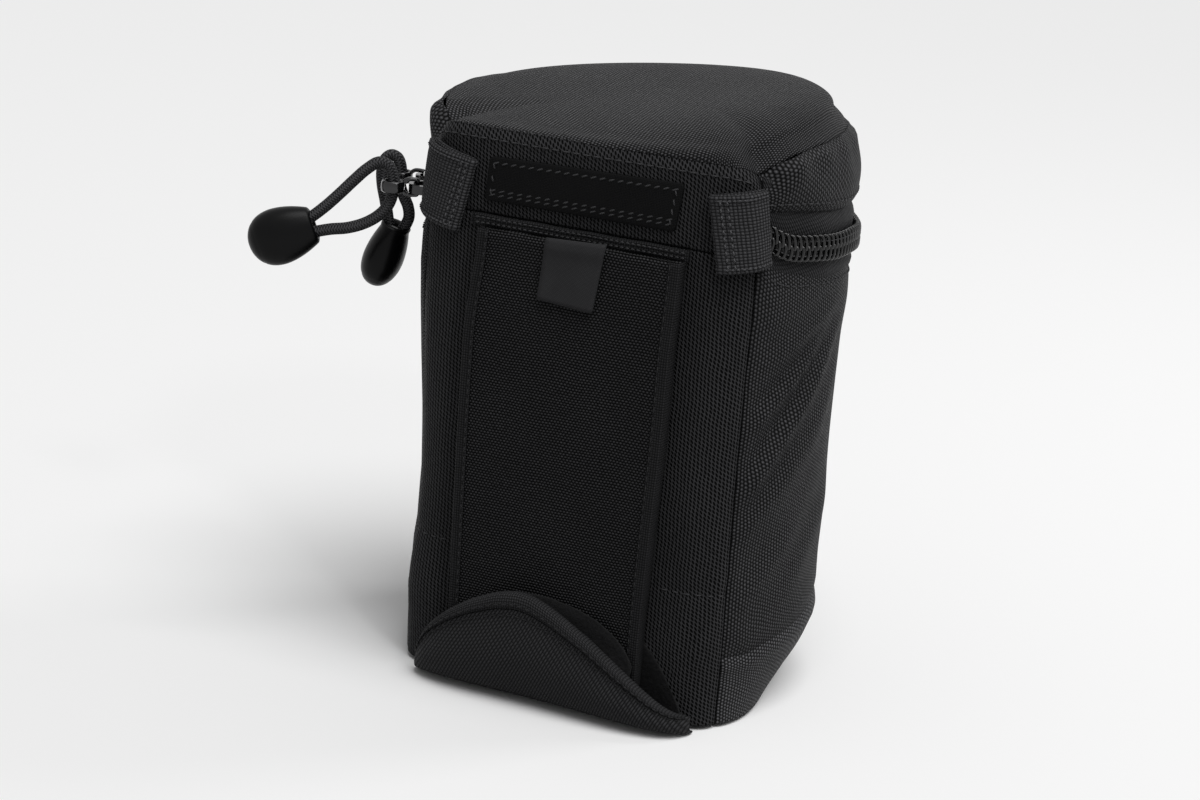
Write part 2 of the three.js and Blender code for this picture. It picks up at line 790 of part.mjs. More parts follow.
function sliderBridge() {
  const foot = outerFaceOut - outerPlate / 2;
  const shape = new THREE.Shape();
  shape.moveTo(foot, -bridgeLength / 2);
  shape.absellipse(outerFaceOut, 0, bridgeRise, bridgeLength / 2, -Math.PI / 2, Math.PI / 2, false, 0);
  shape.lineTo(foot, bridgeLength / 2);
  shape.lineTo(foot, bridgeLength / 2 - bridgeWall);
  shape.absellipse(outerFaceOut, 0, bridgeRise - bridgeWall, bridgeLength / 2 - bridgeWall,
    Math.PI / 2, -Math.PI / 2, true, 0);
  shape.lineTo(foot, -bridgeLength / 2 + bridgeWall);
  shape.closePath();
  const geometry = new THREE.ExtrudeGeometry(shape, {
    depth: bridgeWidth, bevelEnabled: false, curveSegments: 10,
  });
  geometry.translate(0, 0, zipHeight - bridgeWidth / 2);
  return geometry;
}

function slider(nose) {
  const post = boxBetween(innerFaceOut - sliderPlate / 2, outerFaceIn + outerPlate / 2,
    -postLength / 2, postLength / 2, zipHeight - sliderPost / 2, zipHeight + sliderPost / 2);
  return join(
    sliderShell(innerFaceIn, innerFaceOut, nose), sliderShell(outerFaceIn, outerFaceOut, nose),
    post, sliderBridge(),
  );
}

// Pullers: a bar under the bridge, two cheeks round it and an upright eye for the cord

const pullerBar = 0.75;         // half thickness of the bar
const pullerBarOut = 1.3;       // outer plate to the middle of the bar
const cheekThickness = 1.3;
const eyeFrom = 3.5;            // bar to the eye's near wall
const eyeWall = 1.2;
const eyeHole = 4;
const eyeHalfHeight = 2.8;
const eyeRound = 1.4;
const cordDiameter = 3.2;

const barX = outerFaceOut + pullerBarOut;
const eyeX = barX + eyeFrom + eyeWall + eyeHole / 2;
const cheekLow = bridgeWidth / 2 + clearance;

function roundedSquare(half, corner) {
  const shape = new THREE.Shape();
  shape.moveTo(half, -half + corner);
  shape.absarc(half - corner, half - corner, corner, 0, Math.PI / 2);
  shape.absarc(-half + corner, half - corner, corner, Math.PI / 2, Math.PI);
  shape.absarc(-half + corner, -half + corner, corner, Math.PI, 1.5 * Math.PI);
  shape.absarc(half - corner, -half + corner, corner, 1.5 * Math.PI, 2 * Math.PI);
  return shape;
}

function puller() {
  const eyeShape = roundedSquare(eyeHole / 2 + eyeWall, eyeRound);
  eyeShape.holes.push(roundedSquare(eyeHole / 2, eyeRound - eyeWall / 2));
  const eye = new THREE.ExtrudeGeometry(eyeShape, {
    depth: 2 * eyeHalfHeight, bevelEnabled: false, curveSegments: 4,
  });
  eye.translate(eyeX, 0, zipHeight - eyeHalfHeight);
  const cheekHigh = cheekLow + cheekThickness;
  const bar = new THREE.CylinderGeometry(pullerBar, pullerBar, 2 * cheekHigh, 12);
  bar.rotateX(Math.PI / 2);
  bar.translate(barX, 0, zipHeight);
  const reach = barX + eyeFrom + eyeWall / 2;
  const cheek = (low, high) => join(
    boxBetween(barX, reach, -pullerBar, pullerBar, low, high),
    new THREE.CylinderGeometry(pullerBar, pullerBar, high - low, 12)
      .rotateX(Math.PI / 2).translate(barX, 0, (low + high) / 2),
  );
  return join(
    eye, bar, cheek(zipHeight + cheekLow, zipHeight + cheekHigh),
    cheek(zipHeight - cheekHigh, zipHeight - cheekLow),
  );
}

// Cord routes, outwards and upwards from the eye's middle, from the bead round the eye and back

const frontCordRoute = [
  [22.3, -10.9], [20.3, -9.3], [17.3, -6.6], [13.8, -3], [10.3, 0.8], [7, 4.1], [3.9, 6.1], [1.4, 5.4],
  [0, 2.4], [0, -2.4], [1.1, -5.6], [3.6, -8.5], [7.2, -10.8], [11.5, -12.3], [16, -13], [20.9, -14.2],
];
const rearCordRoute = [
  [2.6, -14], [3.1, -11], [4, -7], [5, -2.8], [5.3, 0.9], [4.6, 4.1], [2.9, 5.5], [1.1, 4.9],
  [0, 2.2], [0, -2.4], [-1.1, -5.3], [-2.5, -8.2], [-2.9, -10.9], [-2.2, -13.1], [-1, -15.2],
];
const cordGap = 3.7;            // between the two strands where they enter the bead

function cord(route) {
  const path = new THREE.CatmullRomCurve3(route.map(([out, up]) => at(eyeX + out, 0, zipHeight + up)));
  const shape = new THREE.Shape();
  for (let i = 0; i < 8; i++) {
    const angle = Math.PI / 4 * i;
    const [x, y] = [Math.cos(angle) * cordDiameter / 2, Math.sin(angle) * cordDiameter / 2];
    if (i) shape.lineTo(x, y);
    else shape.moveTo(x, y);
  }
  return new THREE.ExtrudeGeometry(shape, { steps: 30, bevelEnabled: false, extrudePath: path });
}

const beadLength = 17;
const beadWide = 8;             // half of the bead's broad way
const beadThin = 5.1;           // half of the bead's thin way
const beadMouthShare = 0.5;
const beadGap = 0.9;            // ends of the cord to the bead's mouth
const beadSides = 16;
const beadShares = [0, 0.04, 0.13, 0.28, 0.46, 0.64, 0.8, 0.91, 0.975];

// Flattened drop on the cord's ends; inPlane is its half size in the plane of the cord
function bead(route, inPlane, across) {
  const [first, last] = [route[0], route[route.length - 1]];
  const mouth = [(first[0] + last[0]) / 2, (first[1] + last[1]) / 2];
  const split = new THREE.Vector2(first[0] - last[0], first[1] - last[1]).normalize();
  const run = new THREE.Vector2(-split.y, split.x);
  if (run.x < 0) run.negate();
  const swell = (share) => mix(beadMouthShare, 1, Math.sin(Math.PI * Math.min(0.5, share)) ** 0.8)
    * Math.sqrt(Math.max(0, 1 - Math.max(0, (share - 0.45) / 0.55) ** 2));
  const rings = beadShares.map((share) => {
    const along = beadGap + share * beadLength;
    const size = swell(share);
    return Array.from({ length: beadSides }, (_, i) => {
      const angle = 2 * Math.PI * i / beadSides;
      const flat = Math.max(inPlane * size, share < 0.2 ? cordGap / 2 + cordDiameter / 2 : 0);
      const side = Math.cos(angle) * flat;
      const depth = Math.sin(angle) * across * size;
      return at(eyeX + mouth[0] + run.x * along + split.x * side, depth,
        zipHeight + mouth[1] + run.y * along + split.y * side);
    });
  });
  return loft(rings);
}

function zipPull(place, angle, nose, route, inPlane, across) {
  const group = new THREE.Group();
  group.position.set(0, axisY, 0);
  group.rotation.z = angle;
  pouch.add(group);
  piece(`${place}_slider`, slider(nose), finish.metal, group);
  piece(`${place}_puller`, puller(), finish.metal, group);
  piece(`${place}_pull_cord`, cord(route), finish.webbing, group);
  piece(`${place}_pull_bead`, bead(route, inPlane, across), finish.plastic, group);
}

zipPull('front', frontSliderAngle, 1, frontCordRoute, beadWide, beadThin);
zipPull('rear', rearSliderAngle, -1, rearCordRoute, beadThin, beadWide);

export default pouch;
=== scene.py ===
import math

import bpy
import numpy as np
from mathutils import Matrix, Vector


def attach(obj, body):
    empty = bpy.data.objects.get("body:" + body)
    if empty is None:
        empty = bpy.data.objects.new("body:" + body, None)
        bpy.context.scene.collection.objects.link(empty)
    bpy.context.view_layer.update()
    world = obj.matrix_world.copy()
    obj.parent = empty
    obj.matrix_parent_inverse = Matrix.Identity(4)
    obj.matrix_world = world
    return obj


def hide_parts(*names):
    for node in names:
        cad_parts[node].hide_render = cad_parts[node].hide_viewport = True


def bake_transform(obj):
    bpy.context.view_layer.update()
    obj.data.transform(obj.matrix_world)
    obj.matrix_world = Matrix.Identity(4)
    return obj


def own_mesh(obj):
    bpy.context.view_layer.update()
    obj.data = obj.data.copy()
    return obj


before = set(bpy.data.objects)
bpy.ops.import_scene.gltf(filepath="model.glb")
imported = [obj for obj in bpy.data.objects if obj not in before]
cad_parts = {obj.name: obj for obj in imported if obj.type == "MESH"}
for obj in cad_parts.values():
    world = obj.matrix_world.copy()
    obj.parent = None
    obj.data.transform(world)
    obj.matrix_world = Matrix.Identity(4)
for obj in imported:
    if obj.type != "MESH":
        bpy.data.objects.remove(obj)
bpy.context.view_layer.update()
print("pouch: frame loaded,", len(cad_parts), "solids")

mm = 0.001  # sizes are in millimetres and become metres where a mesh is made

# Camera, solved from the case's edges; its place is in metres.
shot = {
    "place": (0.29528, -0.68596, 0.28887),
    "azimuth": 24.13,
    "elevation": 16.26,
    "roll": 4.39,
    "lens": 84.99,
    "sensor": 36.0,
    "clip": (0.02, 30),
}


def addCamera():
    azimuth, elevation, roll = (math.radians(shot[k]) for k in ("azimuth", "elevation", "roll"))
    back = Vector((math.sin(azimuth) * math.cos(elevation), -math.cos(azimuth) * math.cos(elevation),
                   math.sin(elevation)))
    right = Vector((math.cos(azimuth), math.sin(azimuth), 0))
    up = back.cross(right)
    across = right * math.cos(roll) + up * math.sin(roll)
    upward = up * math.cos(roll) - right * math.sin(roll)
    data = bpy.data.cameras.new("pouchCamera")
    data.lens, data.sensor_width = shot["lens"], shot["sensor"]
    data.clip_start, data.clip_end = shot["clip"]
    camera = bpy.data.objects.new("pouchCamera", data)
    turn = Matrix((across, upward, back)).transposed().to_4x4()
    camera.matrix_world = Matrix.Translation(shot["place"]) @ turn
    bpy.context.scene.collection.objects.link(camera)
    bpy.context.scene.camera = camera


addCamera()


class Wire:
    # One output socket; arithmetic on wires adds Math nodes.
    def __init__(self, cloth, socket):
        self.cloth, self.socket = cloth, socket

    def __add__(self, other):
        return self.cloth.maths("ADD", self, other)

    def __radd__(self, other):
        return self.cloth.maths("ADD", other, self)

    def __sub__(self, other):
        return self.cloth.maths("SUBTRACT", self, other)

    def __rsub__(self, other):
        return self.cloth.maths("SUBTRACT", other, self)

    def __mul__(self, other):
        return self.cloth.maths("MULTIPLY", self, other)

    def __rmul__(self, other):
        return self.cloth.maths("MULTIPLY", other, self)

    def __truediv__(self, other):
        return self.cloth.maths("DIVIDE", self, other)

    def __rtruediv__(self, other):
        return self.cloth.maths("DIVIDE", other, self)

    def __pow__(self, other):
        return self.cloth.maths("POWER", self, other)

    def __rpow__(self, other):
        return self.cloth.maths("POWER", other, self)

    def __abs__(self):
        return self.cloth.maths("ABSOLUTE", self)


class Finish:
    # Builds the nodes of one material, or of the world.
    def __init__(self, name, owner=None):
        self.owner = owner or bpy.data.materials.new(name)
        self.owner.use_nodes = True
        self.tree = self.owner.node_tree
        self.tree.nodes.clear()

    def node(self, kind, settings=None, values=None, output=0):
        made = self.tree.nodes.new(kind)
        for key, value in (settings or {}).items():
            setattr(made, key, value)
        for key, value in (values or {}).items():
            if isinstance(value, Wire):
                self.tree.links.new(value.socket, made.inputs[key])
            else:
                made.inputs[key].default_value = value
        return Wire(self, made.outputs[output] if len(made.outputs) else None)

    def maths(self, operation, first, second=0.0):
        return self.node("ShaderNodeMath", {"operation": operation}, {0: first, 1: second})

    def cut(self, value):
        # Keeps a value between 0 and 1.
        return self.node("ShaderNodeMath", {"operation": "ADD", "use_clamp": True}, {0: value, 1: 0.0})

    def ease(self, value, low, high):
        return self.node("ShaderNodeMapRange", {"interpolation_type": "SMOOTHSTEP"},
                         {0: value, 1: low, 2: high, 3: 0.0, 4: 1.0})

    def weaveSpace(self):
        # Place on the flat cloth, in millimetres: as a vector, along the cloth and up the cloth.
        place = self.node("ShaderNodeAttribute", {"attribute_name": "cloth"}, output=1)
        parts = self.node("ShaderNodeSeparateXYZ", {}, {0: place}).socket.node.outputs
        return place, Wire(self, parts[0]), Wire(self, parts[1])

    def solidSpace(self):
        # Place on the piece itself, in millimetres.
        place = self.node("ShaderNodeTexCoord", {}, output=3)
        return self.node("ShaderNodeVectorMath", {"operation": "SCALE"}, {0: place, 3: 1 / mm})

    def noise(self, place, scale, detail=2.0, rough=0.5):
        return self.node("ShaderNodeTexNoise", {"noise_dimensions": "3D"},
                         {"Vector": place, "Scale": scale, "Detail": detail, "Roughness": rough})

    def blendColor(self, share, low, high):
        return self.node("ShaderNodeMix", {"data_type": "RGBA"},
                         {0: share, 6: (*low, 1), 7: (*high, 1)}, output=2)

    def tint(self, color, value):
        # Darkens or lightens a colour by a plain number that varies.
        spread = self.node("ShaderNodeCombineXYZ", {}, {0: value, 1: value, 2: value})
        return self.node("ShaderNodeVectorMath", {"operation": "MULTIPLY"}, {0: color, 1: spread})

    def surface(self, color, rough, bump, strength=1.0, **fixed):
        # The bump's height is in millimetres.
        normal = self.node("ShaderNodeBump", {}, {"Strength": strength, "Distance": mm, "Height": bump})
        values = {"Base Color": color, "Roughness": rough, "Normal": normal}
        values.update({key.replace("_", " "): value for key, value in fixed.items()})
        shader = self.node("ShaderNodeBsdfPrincipled", {}, values)
        self.node("ShaderNodeOutputMaterial", {}, {0: shader})
        return self.owner


def yarnColumns(cloth, u, v, pitch):
    # Place within one yarn, across and along, from -0.5 to 0.5; each column lies half a step on.
    wide, tall = pitch
    count = u / wide
    column = cloth.maths("FLOOR", count)
    across = cloth.maths("FRACT", count) - 0.5
    return across, cloth.maths("FRACT", v / tall + column * 0.5) - 0.5


def yarnBeads(cloth, u, v, pitch, sharp):
    # Domes of yarn, 0 in the gaps between them.
    across, along = yarnColumns(cloth, u, v, pitch)
    return cloth.cut(1.0 - (across * across * 3.9 + along * along * 3.6)) ** sharp


def yarnSlits(cloth, u, v, pitch, lean=math.radians(32)):
    # Close weave seen as a net: leaning slits between the yarns, which the cloth's colour paints dark as shade.
    across, along = yarnColumns(cloth, u, v, pitch)
    one = across * math.cos(lean) + along * math.sin(lean)
    two = along * math.cos(lean) - across * math.sin(lean)
    return cloth.ease(one * one * 13.0 + two * two * 2.6, 0.30, 1.15)


def overUnder(cloth, u, v, pitch):
    # Plain weave of two sets of threads; gives the height and which set is on top.
    a = cloth.maths("SINE", u * (math.pi / pitch))
    b = cloth.maths("SINE", v * (math.pi / pitch))
    onTop = cloth.maths("GREATER_THAN", a * b, 0.0)
    wideA = abs(a) ** 0.7
    wideB = abs(b) ** 0.7
    warp = wideA * (0.45 + 0.55 * wideB)
    weft = wideB * (0.45 + 0.55 * wideA)
    return warp * onTop + weft * (1.0 - onTop), onTop


def ballisticCloth(name, shades, pitch, depth, shine, sharp=0.8, slits=False, turned=False):
    # Heavy woven nylon; turned lays its columns across instead of up.
    cloth = Finish(name)
    place, u, v = cloth.weaveSpace()
    u = u + (cloth.noise(place, 0.13, 1.0) - 0.5) * 0.7
    v = v + (cloth.noise(place, 0.09, 1.0) - 0.5) * 0.9
    if turned:
        u, v = v, u
    height = yarnSlits(cloth, u, v, pitch) if slits else yarnBeads(cloth, u, v, pitch, sharp)
    fibre = cloth.noise(place, 5.5)
    patch = cloth.noise(place, 0.035)
    wear = cloth.noise(place, 0.9)
    # Painted shade and highlight: the colour runs from dark in the gaps between the yarns to light on their tops,
    # by the yarns' height; wear and fibre make the painted highlights uneven.
    lit = cloth.cut(height * (0.30 + 1.3 * wear) * (0.55 + 0.85 * fibre))
    color = cloth.tint(cloth.blendColor(lit, *shades), 0.75 + 0.5 * patch)
    bump = height * depth + fibre * 0.05
    return cloth.surface(color, 0.58 - height * 0.14 + fibre * 0.1, bump, Specular_IOR_Level=shine)


def wovenTape(name, shades, pitch, depth):
    cloth = Finish(name)
    place, u, v = cloth.weaveSpace()
    wander = cloth.noise(place, 0.25, 1.0) - 0.5
    height, onTop = overUnder(cloth, u + wander * 0.3, v + wander * 0.3, pitch)
    fibre = cloth.noise(place, 7.0)
    patch = cloth.noise(place, 0.12)
    # Painted shade and highlight: the colour runs from dark between the threads to light on their tops, by their
    # height.
    lit = cloth.cut(height * (0.7 + 0.6 * fibre))
    color = cloth.tint(cloth.blendColor(lit, *shades), (0.8 + 0.4 * patch) * (0.9 + 0.2 * onTop))
    bump = height * depth + fibre * 0.03
    return cloth.surface(color, 0.7 - 0.1 * height, bump, Specular_IOR_Level=0.06)


def twillCloth(name, shades, pitch, lean, depth):
    # Fine ribs slanted by lean degrees, with a small over and under along each.
    cloth = Finish(name)
    place, u, v = cloth.weaveSpace()
    wander = (cloth.noise(place, 0.1, 1.0) - 0.5) * 0.8
    c, s = math.cos(math.radians(lean)), math.sin(math.radians(lean))
    line = (u * c + v * s) + wander * 0.4
    run = v * c - u * s
    rib = abs(cloth.maths("SINE", line * (math.pi / pitch)))
    row = cloth.maths("FLOOR", line / pitch)
    step = abs(cloth.maths("SINE", (run / pitch + row * 0.5) * (math.pi * 0.55)))
    height = rib ** 0.9 * (0.4 + 0.6 * step)
    fibre = cloth.noise(place, 6.0)
    patch = cloth.noise(place, 0.05)
    # Painted shade and highlight: the colour runs from dark in the grooves between the ribs to light on their
    # tops, by their height.
    color = cloth.tint(cloth.blendColor(cloth.cut(height * (0.75 + 0.5 * fibre)), *shades), 0.82 + 0.36 * patch)
    return cloth.surface(color, 0.58 + 0.1 * fibre, height * depth + fibre * 0.02, Specular_IOR_Level=0.06)


def brushedCloth(name, shades, depth, scale=1.6):
    # Napped lining, foam and hook-and-loop pile.
    cloth = Finish(name)
    place = cloth.solidSpace()
    fuzz = cloth.noise(place, scale, 4.0, 0.7)
    clumps = cloth.noise(place, scale * 0.13)
    color = cloth.tint(cloth.blendColor(fuzz, *shades), 0.8 + 0.4 * clumps)
    return cloth.surface(color, 0.92, fuzz * depth + clumps * 0.1,
                         Sheen_Weight=0.04, Sheen_Roughness=0.6, Specular_IOR_Level=0.04)


def threadCloth(name, shades):
    cloth = Finish(name)
    u, v = cloth.weaveSpace()[1:]
    twist = cloth.maths("SINE", (u + v * 0.6) * 9.0) * 0.5 + 0.5
    return cloth.surface(cloth.blendColor(twist, *shades), 0.5, twist * 0.06, Specular_IOR_Level=0.12)


def smoothPlastic(name, color, rough, grain=0.05, shine=0.5):
    cloth = Finish(name)
    place = cloth.solidSpace()
    fine = cloth.noise(place, 2.2, 3.0)
    smear = cloth.noise(place, 0.22)
    shade = cloth.tint(cloth.blendColor(smear, color, tuple(c * 1.5 for c in color)), 0.9 + 0.2 * fine)
    return cloth.surface(shade, rough + smear * grain * 2 + fine * grain, fine * 0.02, 0.6,
                         Coat_Roughness=0.12, Specular_IOR_Level=shine)


def paintedMetal(name, color, rough):
    # Dark paint that has worn to paler spots.
    cloth = Finish(name)
    place = cloth.solidSpace()
    fine = cloth.noise(place, 1.4, 3.0)
    wear = cloth.ease(cloth.noise(place, 0.8, 4.0, 0.7), 0.62, 0.78)
    shade = cloth.blendColor(wear, color, tuple(c * 3 for c in color))
    return cloth.surface(shade, rough + fine * 0.08, fine * 0.03, 0.5, Metallic=0.85,
                         Coat_Weight=0.6, Coat_Roughness=0.08)


def braidedCord(name, shades):
    # Strands wound both ways round the cord: u runs along it and v round it, once per turn.
    cloth = Finish(name)
    u, v = cloth.weaveSpace()[1:]
    slant, strands = 1.3, 5.0
    left = cloth.maths("SINE", (u * slant + v * strands) * math.pi)
    right = cloth.maths("SINE", (u * slant - v * strands) * math.pi)
    over = cloth.maths("GREATER_THAN", left * right, 0.0)
    bulge = abs(left) * over + abs(right) * (1.0 - over)
    height = bulge ** 1.3
    fibre = cloth.noise(cloth.solidSpace(), 3.0)
    # Painted shade and highlight: the colour runs from dark where the strands dip to light on their bulges, by
    # their height.
    color = cloth.blendColor(cloth.cut(height * (0.4 + 1.1 * fibre)), *shades)
    return cloth.surface(color, 0.62, height * 0.2 + fibre * 0.05, Specular_IOR_Level=0.08)


def grey(low, high, warm=1.05):
    # The two ends of a nearly neutral grey.
    return (low, low, low * warm), (high, high, high * warm)


# Pitches and depths of the weaves are in millimetres, the slants of the ribs in degrees.
# In the woven, twill and braided finishes the darker grey is painted shade between the yarns and the lighter grey
# a painted highlight on their tops.
finishes = {
    "top": ballisticCloth("lidTopCloth", grey(0.0006, 0.150), (0.98, 0.98), 0.55, 0.1, sharp=1.7),
    "wall": ballisticCloth("sideCloth", grey(0.0006, 0.100), (0.97, 0.97), 0.48, 0.08, sharp=1.3),
    "boot": ballisticCloth("bootCloth", grey(0.0006, 0.165), (0.97, 0.97), 0.48, 0.1, sharp=1.3),
    "panel": ballisticCloth("panelCloth", grey(0.0003, 0.050), (1.02, 1.08), 0.4, 0.04, slits=True),
    "tab": ballisticCloth("tabCloth", grey(0.0003, 0.068), (0.74, 0.98), 0.3, 0.03, sharp=1.5, turned=True),
    "webbing": wovenTape("webbingCloth", grey(0.0008, 0.078), 0.82, 0.45),
    "binding": wovenTape("bindingCloth", grey(0.001, 0.046), 0.7, 0.26),
    "tabEdge": wovenTape("tabEdgeCloth", grey(0.0006, 0.030), 0.7, 0.22),
    "flap": twillCloth("flapCloth", grey(0.001, 0.054), 0.8, -28, 0.3),
    "tape": twillCloth("zipTapeCloth", grey(0.002, 0.055), 0.7, 40, 0.2),
    "tag": wovenTape("tagCloth", grey(0.016, 0.050), 0.34, 0.06),
    "label": wovenTape("labelCloth", grey(0.001, 0.009), 0.42, 0.08),
    "lining": brushedCloth("liningCloth", grey(0.035, 0.085), 0.25),
    "foam": brushedCloth("foamPad", grey(0.04, 0.10), 0.2, 2.4),
    "hook": brushedCloth("hookPile", grey(0.0004, 0.018), 0.8, 1.0),
    "thread": threadCloth("sewingThread", grey(0.012, 0.080)),
    "darkThread": threadCloth("darkThread", grey(0.004, 0.040)),
    "loopThread": threadCloth("loopThread", grey(0.015, 0.14)),
    "coil": smoothPlastic("coilPlastic", (0.003, 0.003, 0.0032), 0.14, 0.02, 0.4),
    "bead": smoothPlastic("beadPlastic", (0.002, 0.002, 0.0022), 0.28, 0.05, 0.12),
    "metal": paintedMetal("sliderPaint", (0.02, 0.02, 0.021), 0.2),
    "cord": braidedCord("cordBraid", grey(0.0006, 0.085)),
    "stiffener": smoothPlastic("stiffenerSheet", (0.02, 0.02, 0.02), 0.4),
}
print("pouch: finishes mixed")


def addMesh(name, points, faces, body, finish, cloth=None, stands=(), smooth=True):
    # One piece in millimetres; cloth is each point's place on the flat cloth, for the weave.
    data = bpy.data.meshes.new(name)
    data.from_pydata((np.asarray(points, float) * mm).tolist(), [], [tuple(f) for f in faces])
    data.validate()
    if cloth is not None:
        mark = data.attributes.new("cloth", "FLOAT_VECTOR", "POINT")
        flat = np.zeros((len(data.vertices), 3), np.float32)
        flat[:, :] = np.asarray(cloth, np.float32)[:len(flat)]
        mark.data.foreach_set("vector", flat.ravel())
    data.materials.append(finishes[finish])
    if smooth:
        data.polygons.foreach_set("use_smooth", [True] * len(data.polygons))
    made = bpy.data.objects.new(name, data)
    bpy.context.scene.collection.objects.link(made)
    if body:
        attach(made, body)
    if stands:
        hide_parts(*stands)
    return made


def outwards(points, faces):
    # The faces, turned over where they look inwards.
    p = np.asarray(points, float)
    total = 0.0
    for f in faces[:: max(1, len(faces) // 4000)]:
        for k in range(1, len(f) - 1):
            total += np.dot(p[f[0]], np.cross(p[f[k]], p[f[k + 1]]))
    return [f[::-1] for f in faces] if total < 0 else faces


def sweepFaces(rings, count, loop):
    # Quads over rings of closed sections, with flat ends where the rings don't join up.
    r = np.arange(rings if loop else rings - 1)[:, None] * count
    i = np.arange(count)[None, :]
    onward, around = (r + count) % (rings * count), (i + 1) % count
    faces = np.stack([(r + i).ravel(), (r + around).ravel(), (onward + around).ravel(), (onward + i).ravel()], 1)
    faces = faces.tolist()
    if not loop:
        faces.append(list(range(count))[::-1])
        faces.append([(rings - 1) * count + k for k in range(count)])
    return faces


def sweep(name, rings, body, finish, cloth, loop=False, stands=(), smooth=True):
    # rings: [stations, section points, 3], each section closed.
    rings = np.asarray(rings, float)
    points = rings.reshape(-1, 3)
    faces = outwards(points - points.mean(0), sweepFaces(len(rings), rings.shape[1], loop))
    return addMesh(name, points, faces, body, finish,
                   np.asarray(cloth, float).reshape(-1, 3), stands, smooth)


def smoothStep(low, high, value):
    t = np.clip((np.asarray(value, float) - low) / (high - low), 0, 1)
    return t * t * (3 - 2 * t)


def hill(value, centre, width):
    return np.exp(-((np.asarray(value, float) - centre) / width) ** 2)


def unitRows(vectors):
    return vectors / np.linalg.norm(vectors, axis=1)[:, None]


def runsAlong(line):
    # Length along a line up to each of its points.
    return np.concatenate([[0], np.cumsum(np.linalg.norm(np.diff(line, axis=0), axis=1))])


def stations(low, high, step):
    return np.linspace(low, high, max(2, int(round((high - low) / step)) + 1))


def roundTurn(count):
    return np.linspace(0, 2 * math.pi, count, endpoint=False)


def superOval(angle, power):
    # Unit oval that is squarer the higher its power is.
    c, d = math.cos(angle), math.sin(angle)
    r = (abs(c) ** power + abs(d) ** power) ** (-1 / power)
    return c * r, d * r


# The case in plan: a belt panel with two rolled corners, and a round side.
case = {
    "radius": 55.6,
    "panelDistance": 37.2,
    "cornerRadius": 14.2,
    "zip": 128.7,
    "lidSeam": 150.2,
    "boot": 22.5,
    "bootInset": 10.0,
    "bootEase": 0.17,
    "wrapTop": 122.0,
    "wallLow": 138.0,
    "cloth": 0.95,
}
axisY = (case["panelDistance"] - case["radius"]) / 2
panelY = axisY - case["panelDistance"]
filletX = math.sqrt((case["radius"] - case["cornerRadius"]) ** 2
                    - (case["panelDistance"] - case["cornerRadius"]) ** 2)
filletY = panelY + case["cornerRadius"]
cornerAngle = math.atan2(filletY - axisY, filletX)
seamS = filletX + case["cornerRadius"] * (math.pi / 2 + cornerAngle)
halfGirth = seamS + case["radius"] * (math.pi / 2 - cornerAngle)
farSeamS = 2 * halfGirth - seamS


def fromPanel(s):
    # s brought between minus and plus half the girth.
    return (np.asarray(s, float) + halfGirth) % (2 * halfGirth) - halfGirth


def plan(s, inset=0.0):
    # Point and outward direction at s millimetres round from the middle of the belt panel.
    s = fromPanel(s)
    a, sign = np.abs(s), np.where(s < 0, -1.0, 1.0)
    inset = np.asarray(inset, float) + np.zeros_like(a)
    rollAngle = -math.pi / 2 + (a - filletX) / case["cornerRadius"]
    sideAngle = cornerAngle + (a - seamS) / case["radius"]
    onPanel, onRoll = a <= filletX, (a > filletX) & (a <= seamS)
    roll, side = case["cornerRadius"] - inset, case["radius"] - inset
    x = np.where(onPanel, a, np.where(onRoll, filletX + roll * np.cos(rollAngle), side * np.cos(sideAngle)))
    y = np.where(onPanel, panelY + inset,
                 np.where(onRoll, filletY + roll * np.sin(rollAngle), axisY + side * np.sin(sideAngle)))
    nx = np.where(onPanel, 0.0, np.where(onRoll, np.cos(rollAngle), np.cos(sideAngle)))
    ny = np.where(onPanel, -1.0, np.where(onRoll, np.sin(rollAngle), np.sin(sideAngle)))
    return x * sign, y, nx * sign, ny


def bootSqueeze(s, z):
    # How far the foot of the round side is drawn in.
    share = np.clip((np.abs(fromPanel(s)) - seamS) / (2 * (halfGirth - seamS)), 0, 1)
    t = np.minimum(1, share / case["bootEase"])
    drawn = np.clip(1 - np.asarray(z, float) / case["boot"], 0, None)
    return case["bootInset"] * drawn ** 1.5 * t * t * (3 - 2 * t)


def wallPoint(s, z, inset):
    x, y = plan(s, inset + bootSqueeze(s, z))[:2]
    return np.stack([x, y, np.asarray(z, float) + np.zeros_like(x)], -1)


def foldedSection(z0, z1, thickness, step, fold=0.45):
    # Closed section of a cloth band as [inset, z]: up the outer face, over the fold, down the
    # inner face and round again.
    z = stations(z0 + fold, z1 - fold, step)
    half = thickness / 2
    turn = [math.radians(a) for a in (30, 60, 90, 120, 150)]
    over = [(half - half * math.cos(a), z1 - fold + fold * math.sin(a)) for a in turn]
    under = [(half + half * math.cos(a), z0 + fold - fold * math.sin(a)) for a in turn]
    return np.array([(0.0, v) for v in z] + over + [(thickness, v) for v in z[::-1]] + under)


def level(s, z):
    return np.zeros(np.broadcast(s, z).shape)


def clothBand(name, sValues, section, shape, body, finish, loop=False, stands=(), rise=level):
    # shape(s, z) gives how far the cloth stands out of the plan line, rise(s, z) how far it is raised.
    rings, cloth = [], []
    insets, heights = section[:, 0], section[:, 1]
    runs = heights[0] + runsAlong(section)
    for s in sValues:
        here = np.full(len(section), s)
        out, lifted = shape(here, heights), heights + rise(here, heights)
        rings.append(wallPoint(here, lifted, insets - out))
        cloth.append(np.stack([here, runs, insets], -1))
    return sweep(name, rings, body, finish, cloth, loop, stands)


stitch = {
    # Outline of one stitch: places along it and the widths there, how it arches and how full it is.
    "places": (-1.0, -0.82, -0.35, 0.35, 0.82, 1.0),
    "widths": (0.12, 0.62, 1.0, 1.0, 0.62, 0.12),
    "around": 7,
    "arch": 0.10,
    "dive": 0.22,
    "full": 0.42,
    "look": 0.4,
}


